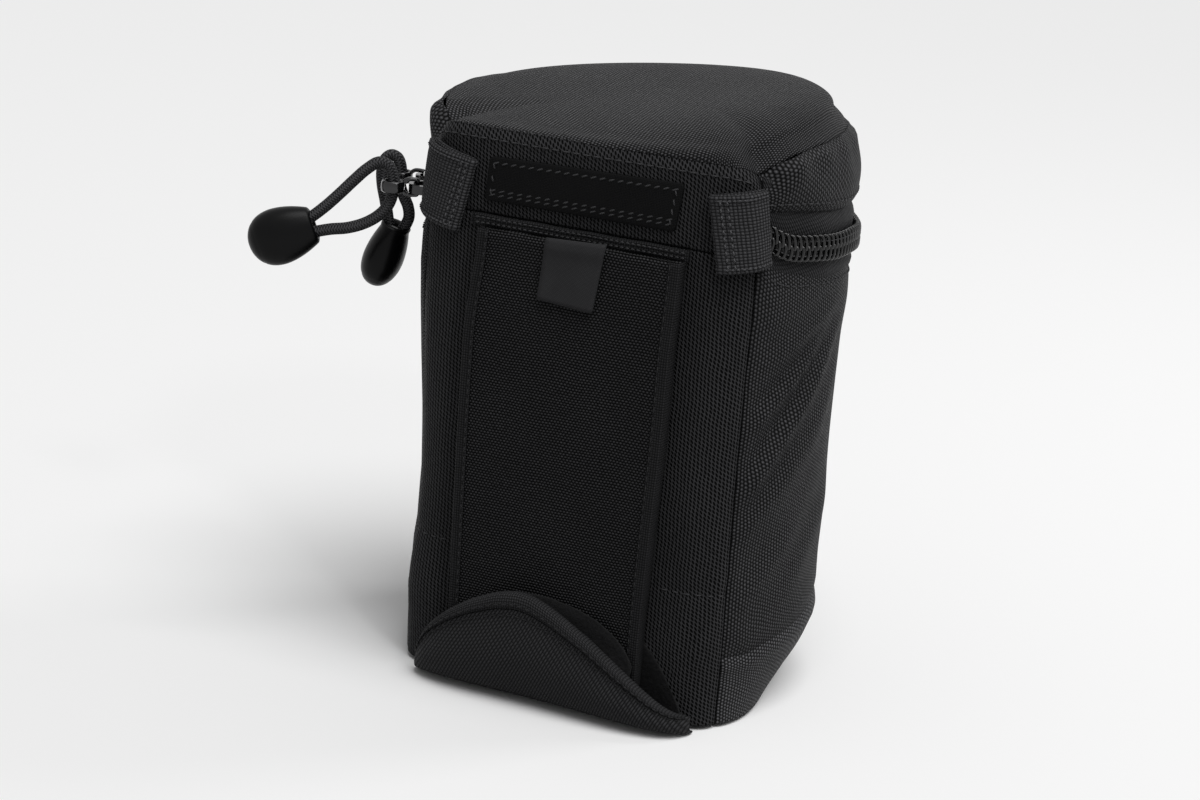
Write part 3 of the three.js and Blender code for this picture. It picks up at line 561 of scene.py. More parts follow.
class Stitching:
    # Collects the stitches of one body and makes them one piece.
    def __init__(self, name, body, finish):
        self.name, self.body, self.finish = name, body, finish
        self.points, self.faces, self.cloth = [], [], []

    def run(self, path, normals, pitch=2.6, length=2.0, width=0.55, slant=0.0, lift=0.12, start=0.5):
        path, normals = np.asarray(path, float), np.asarray(normals, float)
        if normals.ndim == 1:
            normals = np.tile(normals, (len(path), 1))
        runs = runsAlong(path)
        count = int((runs[-1] - 2 * start) / pitch)
        for k in range(count + 1):
            at = start + (runs[-1] - 2 * start) * k / max(1, count)
            self.one(path, normals, runs, at, length, width, slant, lift)

    def one(self, path, normals, runs, at, length, width, slant, lift):
        def sample(values, d):
            return np.array([np.interp(d, runs, values[:, k]) for k in range(3)])
        centre, normal = sample(path, at), sample(normals, at)
        ahead, behind = sample(path, min(runs[-1], at + stitch["look"])), sample(path, max(0, at - stitch["look"]))
        run = (ahead - behind) / (np.linalg.norm(ahead - behind) + 1e-9)
        normal = normal / (np.linalg.norm(normal) + 1e-9)
        side = np.cross(normal, run)
        run = run * math.cos(slant) + side * math.sin(slant)
        side = np.cross(normal, run)
        base, around = len(self.points), stitch["around"]
        for share, size in zip(stitch["places"], stitch["widths"]):
            arch = lift + stitch["arch"] * (1 - share * share) - stitch["dive"] * abs(share) ** 3
            for i in range(around):
                angle = 2 * math.pi * i / around
                self.points.append(centre + run * (share * length / 2)
                                   + side * (math.cos(angle) * width / 2 * size)
                                   + normal * (arch + math.sin(angle) * width * stitch["full"] * size))
                self.cloth.append((share * length / 2, i * width, 0.0))
        last = base + (len(stitch["places"]) - 1) * around
        for a in range(base, last, around):
            for i in range(around):
                j = (i + 1) % around
                self.faces.append((a + i, a + j, a + around + j, a + around + i))
        self.faces.append(tuple(base + i for i in range(around))[::-1])
        self.faces.append(tuple(last + i for i in range(around)))

    def make(self):
        return addMesh(self.name, self.points, self.faces, self.body, self.finish, self.cloth)


bodyThread = Stitching("bodyStitching", "body", "thread")
lidThread = Stitching("lidStitching", "lid", "thread")
labelThread = Stitching("labelStitching", "lid", "thread")
loopThread = Stitching("loopStitching", "lid", "loopThread")
tabThread = Stitching("tabStitching", "tab", "darkThread")
flapThread = Stitching("flapStitching", "flap", "darkThread")


def outwardAt(s):
    nx, ny = plan(np.array([s]))[2:]
    return np.array([nx[0], ny[0], 0.0])


def wallRun(thread, s0, s1, z, shape, rise=level, **how):
    # A row of stitches round the wall, on the cloth that shape and rise describe.
    s = np.linspace(s0, s1, max(2, int(abs(s1 - s0) / 1.5)))
    heights = np.full(len(s), z)
    path = wallPoint(s, heights + rise(s, heights), 0.0 - shape(s, heights))
    nx, ny = plan(s)[2:]
    thread.run(path, np.stack([nx, ny, np.zeros_like(nx)], -1), **how)


# Zip pulls: each cord's route is [out of the case, up] from its puller's eye.
pulls = {
    "eye": 66.4,
    "frontAngle": 205.505,
    "rearAngle": 194.273,
    "diameter": 3.2,
    "frontRoute": [
        (22.3, -10.9), (20.3, -9.3), (17.3, -6.6), (13.8, -3), (10.3, 0.8), (7, 4.1), (3.9, 6.1), (1.4, 5.4),
        (0, 2.4), (0, -2.4), (1.1, -5.6), (3.6, -8.5), (7.2, -10.8), (11.5, -12.3), (16, -13), (20.9, -14.2),
    ],
    "rearRoute": [
        (2.6, -14), (3.1, -11), (4, -7), (5, -2.8), (5.3, 0.9), (4.6, 4.1), (2.9, 5.5), (1.1, 4.9),
        (0, 2.2), (0, -2.4), (-1.1, -5.3), (-2.5, -8.2), (-2.9, -10.9), (-2.2, -13.1), (-1, -15.2),
    ],
    "beadLength": 18.4,
    "beadWide": 7.7,
    "beadThin": 5.4,
    "beadStart": -1.4,
    "beadPower": 2.15,
    "cup": [(0.16, 0.1), (0.16, 0.55), (0.10, 0.66), (0.04, 0.72), (0.012, 0.76)],
    "cupMouth": (3.55, 2.3),
    "neck": (4.15, 2.9),
    "neckEnd": 0.3,
    "groove": 0.86,
}


def throughPoints(points, perSpan=10):
    # Smooth line through the points, with the knots set by the square root of their distances.
    p = np.asarray(points, float)
    p = np.vstack([2 * p[0] - p[1], p, 2 * p[-1] - p[-2]])
    line = []
    for i in range(1, len(p) - 2):
        a, b, c, d = p[i - 1], p[i], p[i + 1], p[i + 2]
        t0 = 0.0
        t1 = t0 + max(1e-4, np.linalg.norm(b - a) ** 0.5)
        t2 = t1 + max(1e-4, np.linalg.norm(c - b) ** 0.5)
        t3 = t2 + max(1e-4, np.linalg.norm(d - c) ** 0.5)
        for t in np.linspace(t1, t2, perSpan, endpoint=False):
            ab = a * (t1 - t) / (t1 - t0) + b * (t - t0) / (t1 - t0)
            bc = b * (t2 - t) / (t2 - t1) + c * (t - t1) / (t2 - t1)
            cd = c * (t3 - t) / (t3 - t2) + d * (t - t2) / (t3 - t2)
            abc = ab * (t2 - t) / (t2 - t0) + bc * (t - t0) / (t2 - t0)
            bcd = bc * (t3 - t) / (t3 - t1) + cd * (t - t1) / (t3 - t1)
            line.append(abc * (t2 - t) / (t2 - t1) + bcd * (t - t1) / (t2 - t1))
    line.append(p[-2])
    return np.array(line)


def pullFrame(angle):
    # Turns a slider's own directions, out and along the zip, into the case's.
    a = math.radians(angle)
    out = np.array([math.cos(a), math.sin(a), 0.0])
    along = np.array([-math.sin(a), math.cos(a), 0.0])
    return out, along, np.array([0.0, axisY, case["zip"]])


def routeLine(route, angle):
    out, along, origin = pullFrame(angle)
    return throughPoints([origin + out * (pulls["eye"] + a) + np.array([0, 0, b]) for a, b in route])


def cordTube(name, line, body, stands):
    # Round tube, on frames carried along the line.
    radius, around = pulls["diameter"] / 2 - 0.03, 20
    runs = runsAlong(line)
    side = None
    rings, cloth = [], []
    for p, t, run in zip(line, unitRows(np.gradient(line, axis=0)), runs):
        if side is None:
            side = np.cross(t, (0.3, 0.9, 0.2))
            side /= np.linalg.norm(side)
        side = side - t * np.dot(side, t)
        side /= np.linalg.norm(side)
        other = np.cross(t, side)
        turns = [2 * math.pi * i / around for i in range(around)]
        rings.append([p + side * (math.cos(a) * radius) + other * (math.sin(a) * radius) for a in turns])
        cloth.append([(run, i / around, 0) for i in range(around)])
    return sweep(name, rings, body, "cord", cloth, stands=stands), runs[-1]


def beadFrame(route, angle):
    # Places a point of the bead from the cord's two ends: along the bead, across it and through it.
    out, along, origin = pullFrame(angle)
    first, last = np.array(route[0], float), np.array(route[-1], float)
    mouth = (first + last) / 2
    split = (first - last) / np.linalg.norm(first - last)
    run = np.array([-split[1], split[0]])
    if run[0] < 0:
        run = -run

    def place(inRun, inSplit, deep):
        flat = mouth + run * inRun + split * inSplit
        return origin + out * (pulls["eye"] + flat[0]) + np.array([0, 0, flat[1]]) + along * deep
    return place


def pullBead(name, route, angle, inPlane, across, body, stands):
    # Egg of two glued halves: a cupped mouth for the cord's ends and a groove near the big end.
    place = beadFrame(route, angle)
    start, length, around = pulls["beadStart"], pulls["beadLength"], 56
    rings = []
    for share, part in pulls["cup"]:
        wide, thin = (size * part / pulls["cup"][-1][1] for size in pulls["cupMouth"])
        rings.append([place(start + share * length, math.cos(a) * wide, math.sin(a) * thin)
                      for a in roundTurn(around)])
    for share in np.concatenate([[0.0, 0.004, 0.012], np.linspace(0.025, 0.9, 40), np.linspace(0.91, 0.999, 14)]):
        swell = 0.62 + 0.38 * math.sin(math.pi * min(0.5, share * 0.86)) ** 0.9
        swell *= max(0.0, 1 - max(0.0, (share - 0.5) / 0.5) ** 2.6) ** 0.5
        lip = 1 - 0.13 * max(0.0, 1 - share / 0.03) ** 2
        groove = 0.14 * math.exp(-((share - pulls["groove"]) / 0.006) ** 2)
        sizes = [max(0.03, size * swell * lip - groove) for size in (inPlane, across)]
        if share < pulls["neckEnd"]:
            keep = 1 - share / pulls["neckEnd"]
            sizes = [max(size, neck * keep ** 0.2 * lip) for size, neck in zip(sizes, pulls["neck"])]
        ring = []
        for a in roundTurn(around):
            c, d = superOval(a, pulls["beadPower"])
            ring.append(place(start + share * length, c * sizes[0], d * sizes[1]))
        rings.append(ring)
    cloth = np.zeros((len(rings), around, 3))
    return sweep(name, rings, body, "bead", cloth, stands=stands)


def addPull(side, inPlane, across):
    route, angle, body = pulls[side + "Route"], pulls[side + "Angle"], side + "_cord_pull"
    line = routeLine(route, angle)
    bead = pullBead(side + "PullBead", route, angle, inPlane, across, body, [side + "_pull_bead"])
    tube, length = cordTube(side + "PullCord", line, body, [side + "_pull_cord"])
    return length


frontLength = addPull("front", pulls["beadWide"], pulls["beadThin"])
rearLength = addPull("rear", pulls["beadThin"], pulls["beadWide"])
print("pouch: cords", round(frontLength, 1), "and", round(rearLength, 1), "mm")


def softenedCopy(name, node, body, width):
    # The solid's own shape with its edges rounded.
    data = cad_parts[node].data.copy()
    data.name = name
    made = bpy.data.objects.new(name, data)
    bpy.context.scene.collection.objects.link(made)
    data.materials.clear()
    data.materials.append(finishes["metal"])
    bevel = made.modifiers.new("edges", "BEVEL")
    bevel.width, bevel.segments, bevel.limit_method = width * mm, 2, "ANGLE"
    bevel.angle_limit = math.radians(35)
    data.polygons.foreach_set("use_smooth", [True] * len(data.polygons))
    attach(made, body)
    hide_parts(node)


puller = {
    "bar": 59.7,
    "eye": 66.4,
    "half": 3.15,
    "wall": 1.25,
    "tall": 1.55,
    "round": 1.9,
    "fork": 2.1,
    "forkWide": 0.55,
    "forkTall": 0.7,
    "power": 2.6,
    "sliderEdge": 0.28,
}


def ovalBar(spots, ups, wide, tall, loop=True):
    # Points and faces of a smooth bar along a closed or open line; ups is the bar's upright way.
    spots, around = np.asarray(spots, float), 20
    tangent = np.roll(spots, -1, 0) - np.roll(spots, 1, 0) if loop else np.gradient(spots, axis=0)
    points = []
    for spot, run in zip(spots, unitRows(tangent)):
        up = np.asarray(ups, float) - run * np.dot(ups, run)
        up /= np.linalg.norm(up)
        side = np.cross(run, up)
        for i in range(around):
            c, d = superOval(2 * math.pi * i / around, puller["power"])
            points.append(spot + side * (c * wide) + up * (d * tall))
    return points, outwards(np.array(points) - spots.mean(0), sweepFaces(len(spots), around, loop))


def pullerShape(side, angle):
    # Rounded ring for the cord, two cheeks and the bar under the slider's bridge, as one piece.
    out, along, origin = pullFrame(angle)
    half, corner = puller["half"] - puller["wall"] / 2, puller["round"]
    spots = []
    for cx, cy, start in ((1, 1, 0), (-1, 1, 90), (-1, -1, 180), (1, -1, 270)):
        for a in np.linspace(start, start + 90, 9)[:-1]:
            r = math.radians(a)
            spots.append(origin + out * (puller["eye"] + (cx * (half - corner) + corner * math.cos(r)))
                         + along * (cy * (half - corner) + corner * math.sin(r)))
    ring, ringFaces = ovalBar(spots, (0, 0, 1), puller["wall"] / 2, puller["tall"])
    reach, bar, high = puller["eye"] - puller["half"] + 0.5, puller["bar"], puller["fork"]
    upper = [(reach, high * 0.5), (reach - 0.6, high * 0.8), (reach - 1.4, high), (bar + 1.0, high),
             (bar + 0.25, high * 0.93), (bar, high * 0.6)]
    line = upper + [(bar, 0)] + [(a, -b) for a, b in upper[::-1]]
    yoke = throughPoints([origin + out * a + np.array([0, 0, b]) for a, b in line], 3)
    fork, forkFaces = ovalBar(yoke, along, puller["forkWide"], puller["forkTall"], loop=False)
    faces = ringFaces + [[k + len(ring) for k in face] for face in forkFaces]
    return addMesh(side + "Puller", ring + fork, faces, side + "_zip_puller", "metal",
                   stands=[side + "_puller"])


for side in ("front", "rear"):
    softenedCopy(side + "Slider", side + "_slider", side + "_zip_slider", puller["sliderEdge"])
    pullerShape(side, pulls[side + "Angle"])
print("pouch: zip pulls made")

bodyCloth = {
    # Where the bands of cloth start and end, and how far they keep from a seam.
    "seamGap": 0.15,
    "wrapLow": 21.6,
    "panelLow": 1.0,
    "panelTop": 127.75,
    "bootLow": 0.9,
    "bootTop": 23.0,
    # Soft folds on the side wrap: [s, z] of the two ends, width, height.
    "folds": [
        ((49, 62), (84, 101), 2.8, 1.45),
        ((50, 81), (76, 102), 2.3, 1.05),
        ((49, 51), (70, 72), 2.6, 0.6),
        ((62, 60), (92, 90), 3.6, 0.65),
        ((55, 99), (80, 111), 2.6, 0.5),
        ((54, 36), (72, 50), 3.6, 0.5),
        ((70, 34), (96, 56), 4.6, 0.55),
        ((120, 30), (150, 80), 9.0, 0.6),
        ((-150, 40), (-120, 95), 9.0, 0.6),
        ((-100, 40), (-78, 70), 6.0, 0.5),
        ((168, 60), (186, 104), 8.0, 0.4),
    ],
    # Two small creases at the foot of the panel's right corner.
    "creases": [((40, 18), (47, 44), 1.8, 0.6), ((33, 6), (44, 26), 1.8, 0.5)],
    # How far the right side stands out: how much, at what height, over what width.
    "rightOut": [(0.8, 112, 9), (-0.65, 84, 34), (-0.5, 36, 14)],
    # How far the left side stands out, by height.
    "leftOut": [(0, 0), (20, -0.3), (32, -0.8), (38, -1.5), (52, -1.7), (60, -1.3), (70, -0.9), (80, -0.3),
                (90, 0.4), (100, 1.2), (110, 1.8), (122, 1.5), (130, 1.2)],
    # How far the zip is raised at the right-hand seam: how much, how far past it, over what width.
    "zipPeak": (4.4, -1, 7.5),
    # How far the boot's seam is raised, by place round the case.
    "bootSeam": [(48, -2.0), (57, -2.4), (63, -0.7), (76, 1.3), (92, 3.5), (110, 4.4), (150, 3.0), (200, 0.0)],
}


def fromTable(values, table):
    places, heights = zip(*table)
    return np.interp(values, places, heights)


def fromSeams(s):
    # Distance into the round side from the nearer of its two seams.
    return np.minimum(s - seamS, farSeamS - s)


def waist(s, z):
    # How far the padded wall is drawn in or stands out with height, right and left.
    right = smoothStep(30, 60, s) * (1 - smoothStep(120, 200, s))
    left = smoothStep(30, 60, -s) + smoothStep(200, 250, s)
    out = sum(size * hill(z, height, width) for size, height, width in bodyCloth["rightOut"])
    return out * right + fromTable(z, bodyCloth["leftOut"]) * left


def ridgeAt(s, z, start, end, width, height):
    # A soft fold from start to end with a hollow along one side.
    s0, s1 = start[0] % (2 * halfGirth), end[0] % (2 * halfGirth)
    run = np.array([s1 - s0, end[1] - start[1]], float)
    length = np.hypot(*run)
    run /= length
    ds, dz = s - s0, z - start[1]
    along = ds * run[0] + dz * run[1]
    off = -ds * run[1] + dz * run[0]
    fade = (smoothStep(-0.25 * length, 0.25 * length, along)
            * (1 - smoothStep(0.75 * length, 1.25 * length, along)))
    return height * fade * (hill(off, 0, width) - 0.7 * hill(off, 1.7 * width, width * 0.9))


def wrapShape(s, z):
    # The wrap swells between its seams and dips at each of them.
    s, z = np.asarray(s, float), np.asarray(z, float)
    edge = smoothStep(0, 5.5, fromSeams(s))
    low = smoothStep(22.0, 26.0, z)
    high = 1 - smoothStep(case["wrapTop"] - 5, case["wrapTop"] + 0.3, z)
    out = 0.55 * edge * low * high - 0.5 * (1 - smoothStep(0, 1.6, fromSeams(s)))
    for fold in bodyCloth["folds"]:
        out = out + ridgeAt(s, z, *fold) * edge
    return out + 0.12 * np.sin(s * 0.21 + z * 0.13) * edge * low * high + waist(s, z)


def seamDip(s):
    # The panel's cloth dips at its two upright seams.
    return -0.45 * (1 - smoothStep(0, 1.8, seamS - np.abs(s)))


def panelShape(s, z):
    s, z = np.asarray(s, float), np.asarray(z, float)
    aside = np.abs(s)
    roll = 0.35 * hill(aside, seamS - 4.2, 3.0)
    bulge = 1.3 * hill(aside, 42, 9) * hill(z, 22, 13) * np.where(s < 0, 1.2, 0.5)
    fold = -0.25 * hill(z, 38, 1.1) * smoothStep(29, 33, aside)
    sway = 0.1 * np.sin(z * 0.12 + s * 0.2) * smoothStep(28, 36, aside)
    crease = sum(ridgeAt(s, z, *ends) for ends in bodyCloth["creases"])
    return seamDip(s) + roll + bulge + fold + sway + crease + waist(s, z) * smoothStep(30, 46, aside)


def zipRise(s):
    # The zip is drawn up towards the right-hand seam and hangs a little lower further round.
    past = np.asarray(s, float) - seamS
    low = 1.3 * smoothStep(10, 34, past) + 2.0 * smoothStep(34, 60, past)
    high, centre, width = bodyCloth["zipPeak"]
    return high * hill(past, centre, width) - low * (1 - smoothStep(90, 150, past))


def zipLift(s, z):
    return zipRise(s)


def bootRise(s):
    # The boot's seam climbs towards the back of the case.
    return fromTable(np.asarray(s, float) % (2 * halfGirth), bodyCloth["bootSeam"])


def wrapRise(s, z):
    return zipRise(s) * smoothStep(96, case["wrapTop"], z) + bootRise(s) * (1 - smoothStep(22, 46, z))


def bootShape(s, z):
    s, z = np.asarray(s, float), np.asarray(z, float)
    tuck = -0.5 * (1 - smoothStep(0, 2.0, fromSeams(s)))
    ripple = 0.1 * np.sin(s * 0.35) * hill(z, 12, 6)
    return 0.35 * hill(z, 13, 9) + tuck + ripple - 0.7 * smoothStep(20.6, 22.6, z) + 0.45 * hill(z, 18.6, 1.8)


def bootLift(s, z):
    return bootRise(s) * smoothStep(9, 22.5, z)


sideStations = stations(seamS + bodyCloth["seamGap"], farSeamS - bodyCloth["seamGap"], 1.25)
panelStations = stations(-seamS + bodyCloth["seamGap"], seamS - bodyCloth["seamGap"], 1.2)
clothBand("sideWrap", sideStations, foldedSection(bodyCloth["wrapLow"], case["wrapTop"], case["cloth"], 1.25),
          wrapShape, "body", "wall", stands=["side_wrap"], rise=wrapRise)
clothBand("beltPanel", panelStations,
          foldedSection(bodyCloth["panelLow"], bodyCloth["panelTop"], case["cloth"], 1.25),
          panelShape, "body", "panel", stands=["belt_panel"])
clothBand("baseBoot", sideStations, foldedSection(bodyCloth["bootLow"], bodyCloth["bootTop"], case["cloth"], 1.2),
          bootShape, "body", "boot", stands=["base_boot"], rise=bootLift)


def wholeOutline(step):
    return stations(-halfGirth, halfGirth, step)[:-1]


def discRings(levels, sValues):
    # Whole outlines at [inset, z, share of the way out from the middle], for floors and pads.
    rings = []
    for inset, z, share in levels:
        ring = wallPoint(sValues, np.full(len(sValues), z), inset)
        ring[:, :2] *= share
        rings.append(ring)
    return np.array(rings)


def stackOfRings(name, levels, body, finish, stands):
    rings = discRings(levels, wholeOutline(2.4))
    return sweep(name, rings, body, finish, rings, stands=stands)


stackOfRings("basePanel", [
    (12.0, 0.05, 0.4), (8.0, 0.05, 0.7), (4.0, 0.05, 1), (2.2, 0.1, 1), (1.5, 0.5, 1), (1.35, 1.1, 1),
    (1.7, 1.75, 1), (4.0, 1.8, 1), (10.0, 1.8, 0.7),
], "body", "wall", ["base_panel"])
basePad = stackOfRings("basePad", [
    (9, 2.1, 0.5), (8.2, 2.1, 1), (7.5, 2.6, 1), (7.4, 4, 1), (7.5, 5.6, 1), (8.2, 6.1, 1), (9, 6.1, 0.5),
], "body", "foam", ["base_pad"])
stackOfRings("bodyLining", [
    (8.2, 7.25, 0.3), (8.3, 7.2, 0.8), (8.5, 7.25, 0.97), (8.25, 8.2, 1), (8.2, 10, 1), (8.2, 24, 1), (8.2, 60, 1),
    (8.2, 100, 1), (8.2, 125.9, 1), (7.8, 126.3, 1), (7.4, 125.9, 1), (7.4, 100, 1), (7.4, 60, 1), (7.4, 24, 1),
    (7.4, 10, 1), (7.5, 7.4, 1), (8.2, 6.5, 0.97), (8.3, 6.4, 0.3),
], "body", "lining", ["body_lining"])


def ringBand(name, section, body, finish, stands):
    return clothBand(name, wholeOutline(2.0), np.array(section), level, body, finish,
                     loop=True, stands=stands)


bodyPadding = ringBand("bodyPadding", [
    (2.2, 2.1), (3.3, 22.5), (3.3, 60), (3.3, 112.6), (3.4, 113.1), (3.5, 113.3), (3.5, 125.4), (4.2, 126.0),
    (6.4, 126.0), (7.1, 125.4), (7.1, 60), (7.1, 22.5), (7.1, 2.6), (6.4, 2.1),
], "body", "foam", ["body_padding"])

# Rolled tape over a raw edge, from the outer foot over the crest to the inner foot: [inset, past the edge].
binding = {
    "section": [
        (2.5, -3.0), (2.35, -1.0), (2.5, 0.6), (3.2, 1.2), (4.4, 1.4), (6.6, 1.4), (7.8, 1.15), (8.5, 0.5),
        (8.65, -1.0), (8.6, -5.6), (8.35, -5.9), (8.15, -5.6), (8.0, -0.4), (7.0, -0.1), (4.0, -0.1),
        (3.3, -1.2), (3.2, -3.0),
    ],
    "mouthEdge": 126.5,
    "lidEdge": 130.9,
}


def bindingTape(name, edge, turn, body, stands):
    ringBand(name, [(inset, edge + turn * past) for inset, past in binding["section"]], body, "binding",
             stands)


bindingTape("mouthBinding", binding["mouthEdge"], 1, "body", ["mouth_binding"])
bindingTape("lidBinding", binding["lidEdge"], -1, "lid", ["lid_binding"])
print("pouch: body made")

zipChain = {
    "pitch": 2.1,
    "wire": 0.5,
    # The coil's reach from the slit, its foot and crest out of the wall, and how far it stands proud.
    "near": -0.42,
    "far": 3.2,
    "foot": 0.0,
    "crest": 1.5,
    "proud": 0.9,
    "ends": 1.1,
    "sewing": 1.9,
    "tapeNear": 1.6,
    "tapeFar": 14.8,
    "tapeInset": 1.25,
    "tapeThickness": 0.75,
}
zipStart, zipEnd = seamS + zipChain["ends"], farSeamS - zipChain["ends"]


def proudOf(s):
    # Away from the sliders the closed chain stands out over the tapes.
    starts, ends = smoothStep(seamS + 12, seamS + 25, s), 1 - smoothStep(zipEnd - 60, zipEnd - 30, s)
    return zipChain["proud"] * starts * ends


def coilHalf(name, turn, body, stands):
    # Spiral of round wire: near the slit it crowds into a head, far from it it turns wide.
    pitch, perLoop, around = zipChain["pitch"], 16, 6
    phase = 0.0 if turn > 0 else 0.5
    t = np.arange(int((zipEnd - zipStart) / pitch) * perLoop + 1) / perLoop
    angle = 2 * np.pi * t
    middle, half = (zipChain["near"] + zipChain["far"]) / 2, (zipChain["far"] - zipChain["near"]) / 2
    high, tall = (zipChain["crest"] + zipChain["foot"]) / 2, (zipChain["crest"] - zipChain["foot"]) / 2
    c, d = np.cos(angle), np.sin(angle)
    squareness = (np.abs(c) ** 3 + np.abs(d) ** 3) ** (-1 / 3)
    out = high + tall * d * squareness
    s = np.clip(zipStart + pitch * (t + phase) + 0.16 * pitch * np.sin(angle), zipStart, zipEnd)
    up = case["zip"] + turn * (middle + half * c * squareness) + zipRise(s)
    x, y, nx, ny = plan(s, -out - proudOf(s))
    line = np.stack([x, y, up], -1)
    tangent = unitRows(np.gradient(line, axis=0))
    normal = np.stack([nx, ny, np.zeros_like(nx)], -1) * d[:, None] + np.array([0, 0, 1.0]) * (turn * c)[:, None]
    normal -= tangent * np.sum(normal * tangent, 1)[:, None]
    normal = unitRows(normal)
    other = np.cross(tangent, normal)
    thick = (zipChain["wire"] * (1 + 0.3 * np.clip(-c, 0, 1) ** 2))[:, None]
    turns = [2 * math.pi * i / around for i in range(around)]
    rings = np.stack([line + normal * (math.cos(a) * thick * 0.9) + other * (math.sin(a) * thick)
                      for a in turns], 1)
    cloth = np.zeros((len(line), around, 3))
    cloth[:, :, 0] = s[:, None]
    return sweep(name, rings, body, "coil", cloth, stands=stands)


def tapeHalf(name, turn, body, stands):
    low, high = sorted(case["zip"] + turn * zipChain[end] for end in ("tapeNear", "tapeFar"))
    section = foldedSection(low, high, zipChain["tapeThickness"], 1.4, 0.3)
    section[:, 0] += zipChain["tapeInset"]

    def shape(s, z):
        # The tape lies right behind the coil where the chain stands out, and deeper by the sliders.
        fromSlit = np.abs(z - case["zip"])
        behind = proudOf(s) / zipChain["proud"]
        swell = behind * (zipChain["proud"] + 0.68) + (1 - behind) * 0.25 * smoothStep(2.2, 4.6, fromSlit)
        return swell * (1 - smoothStep(5.5, 11, fromSlit)) + (0.9 if turn < 0 else 0.3) * hill(fromSlit, 7.5, 3.0)
    return clothBand(name, stations(seamS + 0.4, farSeamS - 0.4, 2.0), section, shape,
                     body, "tape", stands=stands, rise=zipLift)


def coilSewing(thread, turn):
    # A row of thread over the wires holds each coil.
    wallRun(thread, zipStart + 1, zipEnd - 1, case["zip"] + turn * zipChain["sewing"],
            lambda s, z: zipChain["crest"] + 0.1 + proudOf(s), rise=zipLift,
            pitch=2.1, length=1.2, width=0.34, lift=0.0)


zipHalves = ((-1, "lower", "body"), (1, "upper", "lid"))
for turn, word, body in zipHalves:
    coilHalf(word + "ZipCoil", turn, body, [word + "_zip_coil"])
for turn, word, body in zipHalves:
    tapeHalf(word + "ZipTape", turn, body, [word + "_zip_tape"])
coilSewing(bodyThread, -1)
coilSewing(lidThread, 1)
print("pouch: zip made")

crown = {
    "rimInset": 1.5,
    # Height of the middle, and how it rises to the right, to the back and to both sides.
    "peak": 157.2,
    "riseRight": 5.4,
    "riseBack": 6.0,
    "riseSides": 4.6,
    "riseReach": 50,
    "power": 5.0,
    "round": 0.8,
    "thickness": 0.9,
    "shoulder": 2.1,
    "sideDip": 1.6,
    "sag": 1.1,
    # Height of the lid's top seam by distance from the panel's middle: low over the corners.
    "seam": [(0, 150.2), (38, 150.4), (43, 149.6), (48.4, 147.4), (54, 150.3), (59, 152.2), (70, 153.6),
             (85, 154.4), (halfGirth, 154.4)],
    # How far the corners are drawn in and the right side leans in: how much, where, over what width.
    "pocket": (1.5, seamS + 1.2, 4.2),
    "lean": (1.7, 105, 38),
    # Heights where the front strip starts, where it starts to curve and where to rise.
    "frontStart": 128.05,
    "frontCurve": 128.3,
    "frontRise": 140.0,
    "foamDrop": 3.0,
    "foamFloor": 149.3,
}


def seamLevel(s):
    return fromTable(np.abs(fromPanel(s)), crown["seam"])


def pocketInset(s):
    # The corners of the lid are drawn in where the seams meet.
    depth, centre, width = crown["pocket"]
    return depth * hill(np.abs(fromPanel(s)), centre, width)


def sideInset(s):
    # The right side of the lid leans in towards its top.
    depth, centre, width = crown["lean"]
    return depth * hill(s, centre, width)


def shareUp(z, low):
    # 0 at the height low and 1 at the lid's top seam.
    return np.clip((np.asarray(z, float) - low) / (case["lidSeam"] - low), 0, 1)


def lidWallRise(s, z):
    s, up = np.asarray(s, float), shareUp(z, case["wallLow"])
    foot = (1.0 - 3.2 * smoothStep(seamS, 90, s)) * (1 - smoothStep(100, 150, s))
    return foot * (1 - up) + (seamLevel(s) - case["lidSeam"]) * smoothStep(0.0, 1.0, up)


def lidWallShape(s, z):
    s, z = np.asarray(s, float), np.asarray(z, float)
    edge, up = fromSeams(s), shareUp(z, case["wallLow"])
    belly = 1.6 * np.sin(np.pi * np.clip(up * 0.92 + 0.04, 0, 1)) ** 0.8 * smoothStep(-1, 9, edge)
    drawn = -crown["rimInset"] * smoothStep(0.86, 1.0, up) - sideInset(s) * smoothStep(0.2, 0.9, up)
    foot = -0.4 * (1 - smoothStep(0.0, 0.1, up))
    pinch = -pocketInset(s) * smoothStep(0.45, 1.0, up)
    pinch = pinch + (0.9 * hill(edge, 10, 3.5) - 1.6 * hill(edge, 2.6, 2.2)) * smoothStep(0.3, 0.85, up)
    gather = 0.22 * np.sin(s * 0.55) * hill(up, 0.85, 0.2) + 0.15 * np.sin(s * 0.31 + z * 0.4) * hill(up, 0.5, 0.3)
    return belly + drawn + foot + pinch + gather * smoothStep(0, 8, edge)


def lidFrontShape(s, z):
    up = shareUp(z, crown["frontCurve"])
    drawn = -1.2 * smoothStep(0.88, 1.0, up)
    return 0.25 * np.sin(np.pi * up) + seamDip(s) + drawn - pocketInset(s) * smoothStep(0.6, 1.0, up)


def lidFrontRise(s, z):
    return (seamLevel(s) - case["lidSeam"]) * smoothStep(0.0, 1.0, shareUp(z, crown["frontRise"]))


clothBand("lidWall", sideStations, foldedSection(case["wallLow"] - 0.3, case["lidSeam"] + 0.2, case["cloth"], 0.9),
          lidWallShape, "lid", "wall", stands=["lid_wall"], rise=lidWallRise)
clothBand("lidFront", panelStations, foldedSection(crown["frontStart"], case["lidSeam"] + 0.1, case["cloth"], 0.9),
          lidFrontShape, "lid", "panel", stands=["lid_front"], rise=lidFrontRise)


def crownPeak(x, y):
    # Height of the lid's top where nothing draws it down.
    across, deep = x / crown["riseReach"], (y - axisY) / crown["riseReach"]
    return (crown["peak"] + crown["riseRight"] * across + crown["riseBack"] * deep
            + crown["riseSides"] * across * across)


